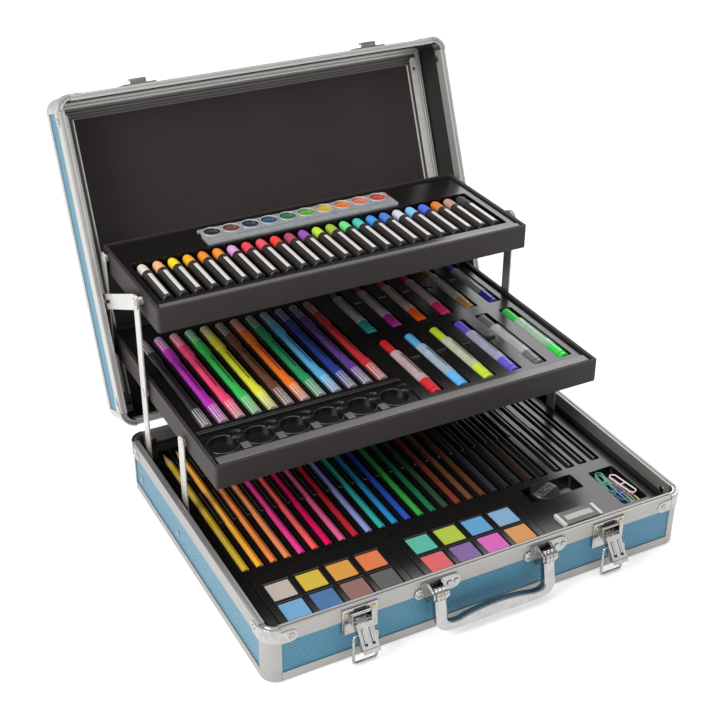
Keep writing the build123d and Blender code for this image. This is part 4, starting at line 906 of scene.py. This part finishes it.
def turned(rings, spot):
    """Round piece along Y, drawn through (distance, radius) rings from a spot."""
    bpy.ops.object.select_all(action="DESELECT")
    start, radius = rings[0]
    bpy.ops.mesh.primitive_circle_add(
        vertices=TURNED_SIDES, radius=radius, fill_type="NGON", rotation=(radians(90), 0, 0),
        location=(spot[0], spot[1] + start, spot[2]),
    )
    piece = settled()
    bpy.ops.object.mode_set(mode="EDIT")
    bpy.ops.mesh.select_all(action="SELECT")
    for distance, wide in rings[1:]:
        bpy.ops.mesh.extrude_region_move(
            TRANSFORM_OT_translate={"value": (0, distance - start, 0)}
        )
        bpy.ops.transform.resize(
            value=(wide / radius, 1, wide / radius),
            center_override=(spot[0], spot[1] + distance, spot[2]),
        )
        start, radius = distance, wide
    bpy.ops.mesh.select_all(action="SELECT")
    bpy.ops.mesh.normals_make_consistent(inside=False)
    bpy.ops.object.mode_set(mode="OBJECT")
    return piece


LONG_FIRST_X, LONG_PITCH, LONG_FRONT, LONG_Z = -0.1542, 0.0141, 0.0285, 0.1125
LONG_CAP, LONG_BACK_CAP, LONG_RIBS = 0.0242, 0.122, 0.0019
LONG_STRIPE_HALF, LONG_STRIPE = 0.0007, (0.048, 0.096)
LONG_COLOURS = (
    "1f1e1e", "a52a9f", "e2436f", "35b052", "d3d437", "63402c",
    "df6f26", "2a8b58", "4f9fcb", "27377f", "54387a", "ad2c31",
)
LONG_RINGS = (
    (0, 0.0044), (0.0008, 0.0050), (0.024, 0.0051), (0.0242, 0.0054), (0.034, 0.0053),
    (0.037, 0.0045), (0.104, 0.0044), (0.106, 0.0050), (0.107, 0.0053), (0.122, 0.0053),
    (0.1222, 0.0050), (0.145, 0.0050), (0.146, 0.0044),
)
marker_ink = Finish("marker_barrel", Coat_Weight=0.3)
place = marker_ink.place()
x, y = marker_ink.axes(place, "XY")
barrel, from_axis = marker_ink.lined_up(x, LONG_FIRST_X, LONG_PITCH, LONG_COLOURS)
from_front = y - LONG_FRONT
front_cap = (1 - from_front / LONG_CAP).larger(0.0)
back_cap = ((from_front - LONG_BACK_CAP) / LONG_CAP).larger(0.0)
clear_part = front_cap.larger(back_cap)
ribs = from_axis.wave(LONG_RIBS) ** 4
stripe = (abs(from_axis) < LONG_STRIPE_HALF) * from_front.within(*LONG_STRIPE)
pen = marker_ink.mix(clear_part * 0.7, barrel, tint("77706f"))
# White lines along the clear caps' ribs are painted highlights.
pen = marker_ink.mix((clear_part > 0.01) * 0.55 * ribs, pen, tint("f0f0f0"))
marker_ink.set(
    Base_Color=marker_ink.mix(stripe * 0.75, pen, tint("1b1a1a")),
    Roughness=0.22 + 0.1 * marker_ink.grain(place, 0.004),
)
marker = turned(LONG_RINGS, (LONG_FIRST_X, LONG_FRONT, LONG_Z))
along_row = [(index * LONG_PITCH, 0, 0) for index in range(len(LONG_COLOURS))]
markers = repeated(marker, along_row, "two_ended_markers")
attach(markers, "mid_tray")
stands_for(markers, "long_markers", marker_ink)

# Short markers: stout pens with grey translucent barrels, coloured front ends and slimmer ribbed
# coloured caps at the back.
SHORT_FIRST_X, SHORT_PITCH, SHORT_Z, SHORT_FRONTS = 0.030, 0.0249, 0.1115, (-0.0085, 0.101)
ROW_SHORTS, BETWEEN_Y, SHORT_CAP, SHORT_NECK, SHORT_RIBS = 6, 0.094, 0.020, 0.0705, 0.0013
SHORT_STRIPE_X, SHORT_STRIPE_HALF, SHORT_STRIPE = 0.0012, 0.0011, (0.028, 0.062)
SHORT_COLOURS = (
    "c0272f", "5aa5d8", "b9cc35", "5a4fb8", "5f6366", "2fc04a",
    "237c73", "93247a", "d8561a", "cb2b70", "a37b43", "26358f",
)
SHORT_RINGS = (
    (0, 0.0048), (0.0007, 0.0055), (0.0035, 0.0055), (0.0037, 0.0050), (0.0045, 0.0050),
    (0.0047, 0.0057), (0.020, 0.0058), (0.0203, 0.0061), (0.069, 0.0061), (0.071, 0.0052),
    (0.0715, 0.0047), (0.0905, 0.0049), (0.092, 0.0042),
)
stout = Finish("stout_barrel", Coat_Weight=0.3)
place = stout.place()
x, y = stout.axes(place, "XY")
along = x - (SHORT_FIRST_X - SHORT_PITCH / 2)
back_row = (y > BETWEEN_Y) * ROW_SHORTS
ends = stout.row((along / SHORT_PITCH + back_row) / len(SHORT_COLOURS), SHORT_COLOURS)
from_axis = along % SHORT_PITCH - SHORT_PITCH / 2
from_front = (y - SHORT_FRONTS[0]) % (SHORT_FRONTS[1] - SHORT_FRONTS[0])
middle = from_front.within(SHORT_CAP, SHORT_NECK)
smoke = stout.grain(place, 0.008)
body = stout.mix(0.22, stout.mix(smoke, tint("7c7f80"), tint("b4b7b7")), ends)
# Dark lines between the flutes of the back caps are painted shade in the grooves.
flute_shade = (from_front > SHORT_NECK) * from_axis.wave(SHORT_RIBS)
in_stripe = abs(from_axis - SHORT_STRIPE_X) < SHORT_STRIPE_HALF
stripe = middle * in_stripe * from_front.within(*SHORT_STRIPE)
pen = stout.mix(middle, stout.mix(flute_shade * 0.35, ends, tint("141414")), body)
stout.set(
    Base_Color=stout.mix(stripe * 0.7, pen, tint("2a2a2b")),
    Roughness=0.16 + 0.12 * smoke,
)
marker = turned(SHORT_RINGS, (SHORT_FIRST_X, SHORT_FRONTS[0], SHORT_Z))
moves = [
    (index * SHORT_PITCH, front - SHORT_FRONTS[0], 0)
    for front in SHORT_FRONTS for index in range(ROW_SHORTS)
]
markers = repeated(marker, moves, "stout_markers")
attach(markers, "mid_tray")
stands_for(markers, "short_markers", stout)

# Oil pastels: round sticks in dark paper wrappers, each with a bare blunt tip of its colour. The
# wrappers are left plain, with one pale stripe along each.
PASTEL_FIRST_X, PASTEL_PITCH, PASTEL_FRONT, PASTEL_Z = -0.153, 0.01325, 0.101, 0.1904
WRAPPED_LENGTH, WRAPPER_STRIPE_HALF, WRAPPER_STRIPE = 0.0491, 0.0017, (0.003, 0.043)
PASTEL_COLOURS = (
    "cfc9bb", "dfa87c", "e6ca22", "dfa524", "df8428", "df872c", "d293cc", "d8414d",
    "df4f5b", "df4030", "a9415d", "8b50ab", "b5d23c", "97b03b", "6cd07f", "4cb8b0",
    "3a8ed2", "4a76c6", "c3c9d3", "76b9dc", "4d5ed8", "d27b2c", "b48a7f", "3a3a3c",
)
PASTEL_RINGS = (
    (0, 0.0042), (0.0005, 0.0046), (0.049, 0.0046), (WRAPPED_LENGTH, 0.0044), (0.060, 0.0043),
    (0.0635, 0.0034), (0.065, 0.0022),
)
wrapper = Finish("pastel_wrapper")
place = wrapper.place()
x, y = wrapper.axes(place, "XY")
wax, from_axis = wrapper.lined_up(x, PASTEL_FIRST_X, PASTEL_PITCH, PASTEL_COLOURS)
from_front = y - PASTEL_FRONT
bare_tip = from_front > WRAPPED_LENGTH
stripe = (abs(from_axis) < WRAPPER_STRIPE_HALF) * from_front.within(*WRAPPER_STRIPE)
paper = wrapper.mix(stripe * 0.85, tint("2e2b29"), tint("d6d4d1"))
wrapper.set(
    Base_Color=wrapper.mix(bare_tip, paper, wax),
    Roughness=0.36 + 0.15 * bare_tip,
)
pastel = turned(PASTEL_RINGS, (PASTEL_FIRST_X, PASTEL_FRONT, PASTEL_Z))
along_row = [(index * PASTEL_PITCH, 0, 0) for index in range(len(PASTEL_COLOURS))]
pastels = repeated(pastel, along_row, "wrapped_oil_pastels")
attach(pastels, "upper_tray")
stands_for(pastels, "oil_pastels", wrapper)

# Watercolour strip: clear plastic tray, moulded in one piece, with ten round pans of paint and a
# raised rim round each.
PAN_COLOURS = (
    "2b2b2b", "6a4438", "2a2f4a", "34506f", "2f6a45",
    "5f9a3a", "c9a43a", "d0783a", "d0705f", "b8453a",
)
STRIP_X, PAN_PITCH, PAN_Y, PAN_RADIUS, PAN_RIM_Z = 0.0025, 0.0179, 0.1935, 0.0076, 0.1951
PAN_FIRST_X = STRIP_X - (len(PAN_COLOURS) - 1) / 2 * PAN_PITCH
RIM_RADIUS, RIM_WIRE = 0.0080, 0.0007
clear_tray = Finish("clear_tray", Coat_Weight=0.3)
place = clear_tray.place()
x, y = clear_tray.axes(place, "XY")
pans, from_pan = clear_tray.lined_up(x, PAN_FIRST_X, PAN_PITCH, PAN_COLOURS)
from_pan_y = y - PAN_Y
distance = (from_pan * from_pan + from_pan_y * from_pan_y) ** 0.5
milky = clear_tray.grain(place, 0.005)
clear = clear_tray.mix(milky, tint("7b7e80"), tint("a3a6a8"))
clear_tray.set(
    Base_Color=clear_tray.mix(distance < PAN_RADIUS, clear, pans),
    Roughness=0.1 + 0.1 * milky,
)
eased("watercolour_strip", "watercolour_pan_strip", 0.0005, clear_tray, steps=3)
rims = [
    ring(RIM_RADIUS, RIM_WIRE, (PAN_FIRST_X + index * PAN_PITCH, PAN_Y, PAN_RIM_Z), sides=40)
    for index in range(len(PAN_COLOURS))
]
rims = joined(rims, "pan_rims")
smooth(rims, RING_ANGLE)
# The rims are the strip's own clear plastic; their lighter grey is a painted highlight.
rim_highlight = Finish("clear_rim", tint("a9acae"), Coat_Weight=0.5)
rim_highlight.set(Roughness=0.08 + 0.1 * rim_highlight.grain(rim_highlight.place(), 0.003))
fitted(rims, "upper_tray", rim_highlight)

# Studio: pale seamless floor, one broad soft light from the left and one from above, a lower one in
# front and one far behind at the right, which the glossy sheets mirror there.
FLOOR_SIZE, FLOOR_DROP = 8, 0.0003
LIT_POINT = Vector((0, 0, 0.12))
bpy.ops.object.select_all(action="DESELECT")
bpy.ops.mesh.primitive_plane_add(size=FLOOR_SIZE, location=(0, 0, -FLOOR_DROP))
floor = bpy.context.active_object
floor.name = "studio_floor"
floor_white = Finish(
    "floor_white", (0.92, 0.92, 0.92), Roughness=0.7,
    Emission_Color=(1.0, 1.0, 1.0), Emission_Strength=0.35,
)
dress(floor, floor_white)
room = bpy.data.worlds.new("studio_room")
room.use_nodes = True
glow = room.node_tree.nodes["Background"].inputs
glow["Color"].default_value, glow["Strength"].default_value = (1, 1, 1, 1), 0.46
bpy.context.scene.world = room
for name, spot, size, power in (
    ("left_softbox", (-1.7, -0.4, 1.3), 1.2, 36),
    ("top_softbox", (0.2, 0.3, 2.2), 1.4, 20),
    ("front_softbox", (0.9, -2.0, 1.0), 1.2, 5),
    ("back_softbox", (1.5, 1.7, 1.5), 1.2, 11),
):
    bpy.ops.object.light_add(type="AREA", location=spot)
    lamp = bpy.context.active_object
    lamp.name = name
    lamp.data.size, lamp.data.energy = size, power
    lamp.rotation_euler = (LIT_POINT - Vector(spot)).to_track_quat("-Z", "Y").to_euler()
bpy.context.scene.view_settings.view_transform = "Standard"

# Camera at the photograph's viewpoint: turned to the right, looking down, and rolled a little. The
# angles are in degrees, and lens and sensor in millimetres.
VIEWPOINT = (-0.464998, -0.810165, 0.696315)
TURNED_RIGHT, LOOKING_DOWN, ROLLED = 27.894, 30.451, 0.361
LENS, SENSOR = 68.509, 36
NEAREST, FARTHEST = 0.05, 20
bpy.ops.object.camera_add(location=VIEWPOINT)
camera = bpy.context.active_object
aim = Matrix.Rotation(radians(-TURNED_RIGHT), 3, "Z")
aim = aim @ Matrix.Rotation(radians(90 - LOOKING_DOWN), 3, "X")
camera.rotation_euler = (aim @ Matrix.Rotation(radians(ROLLED), 3, "Z")).to_euler()
camera.data.sensor_width, camera.data.lens = SENSOR, LENS
camera.data.clip_start, camera.data.clip_end = NEAREST, FARTHEST
bpy.context.scene.camera = camera
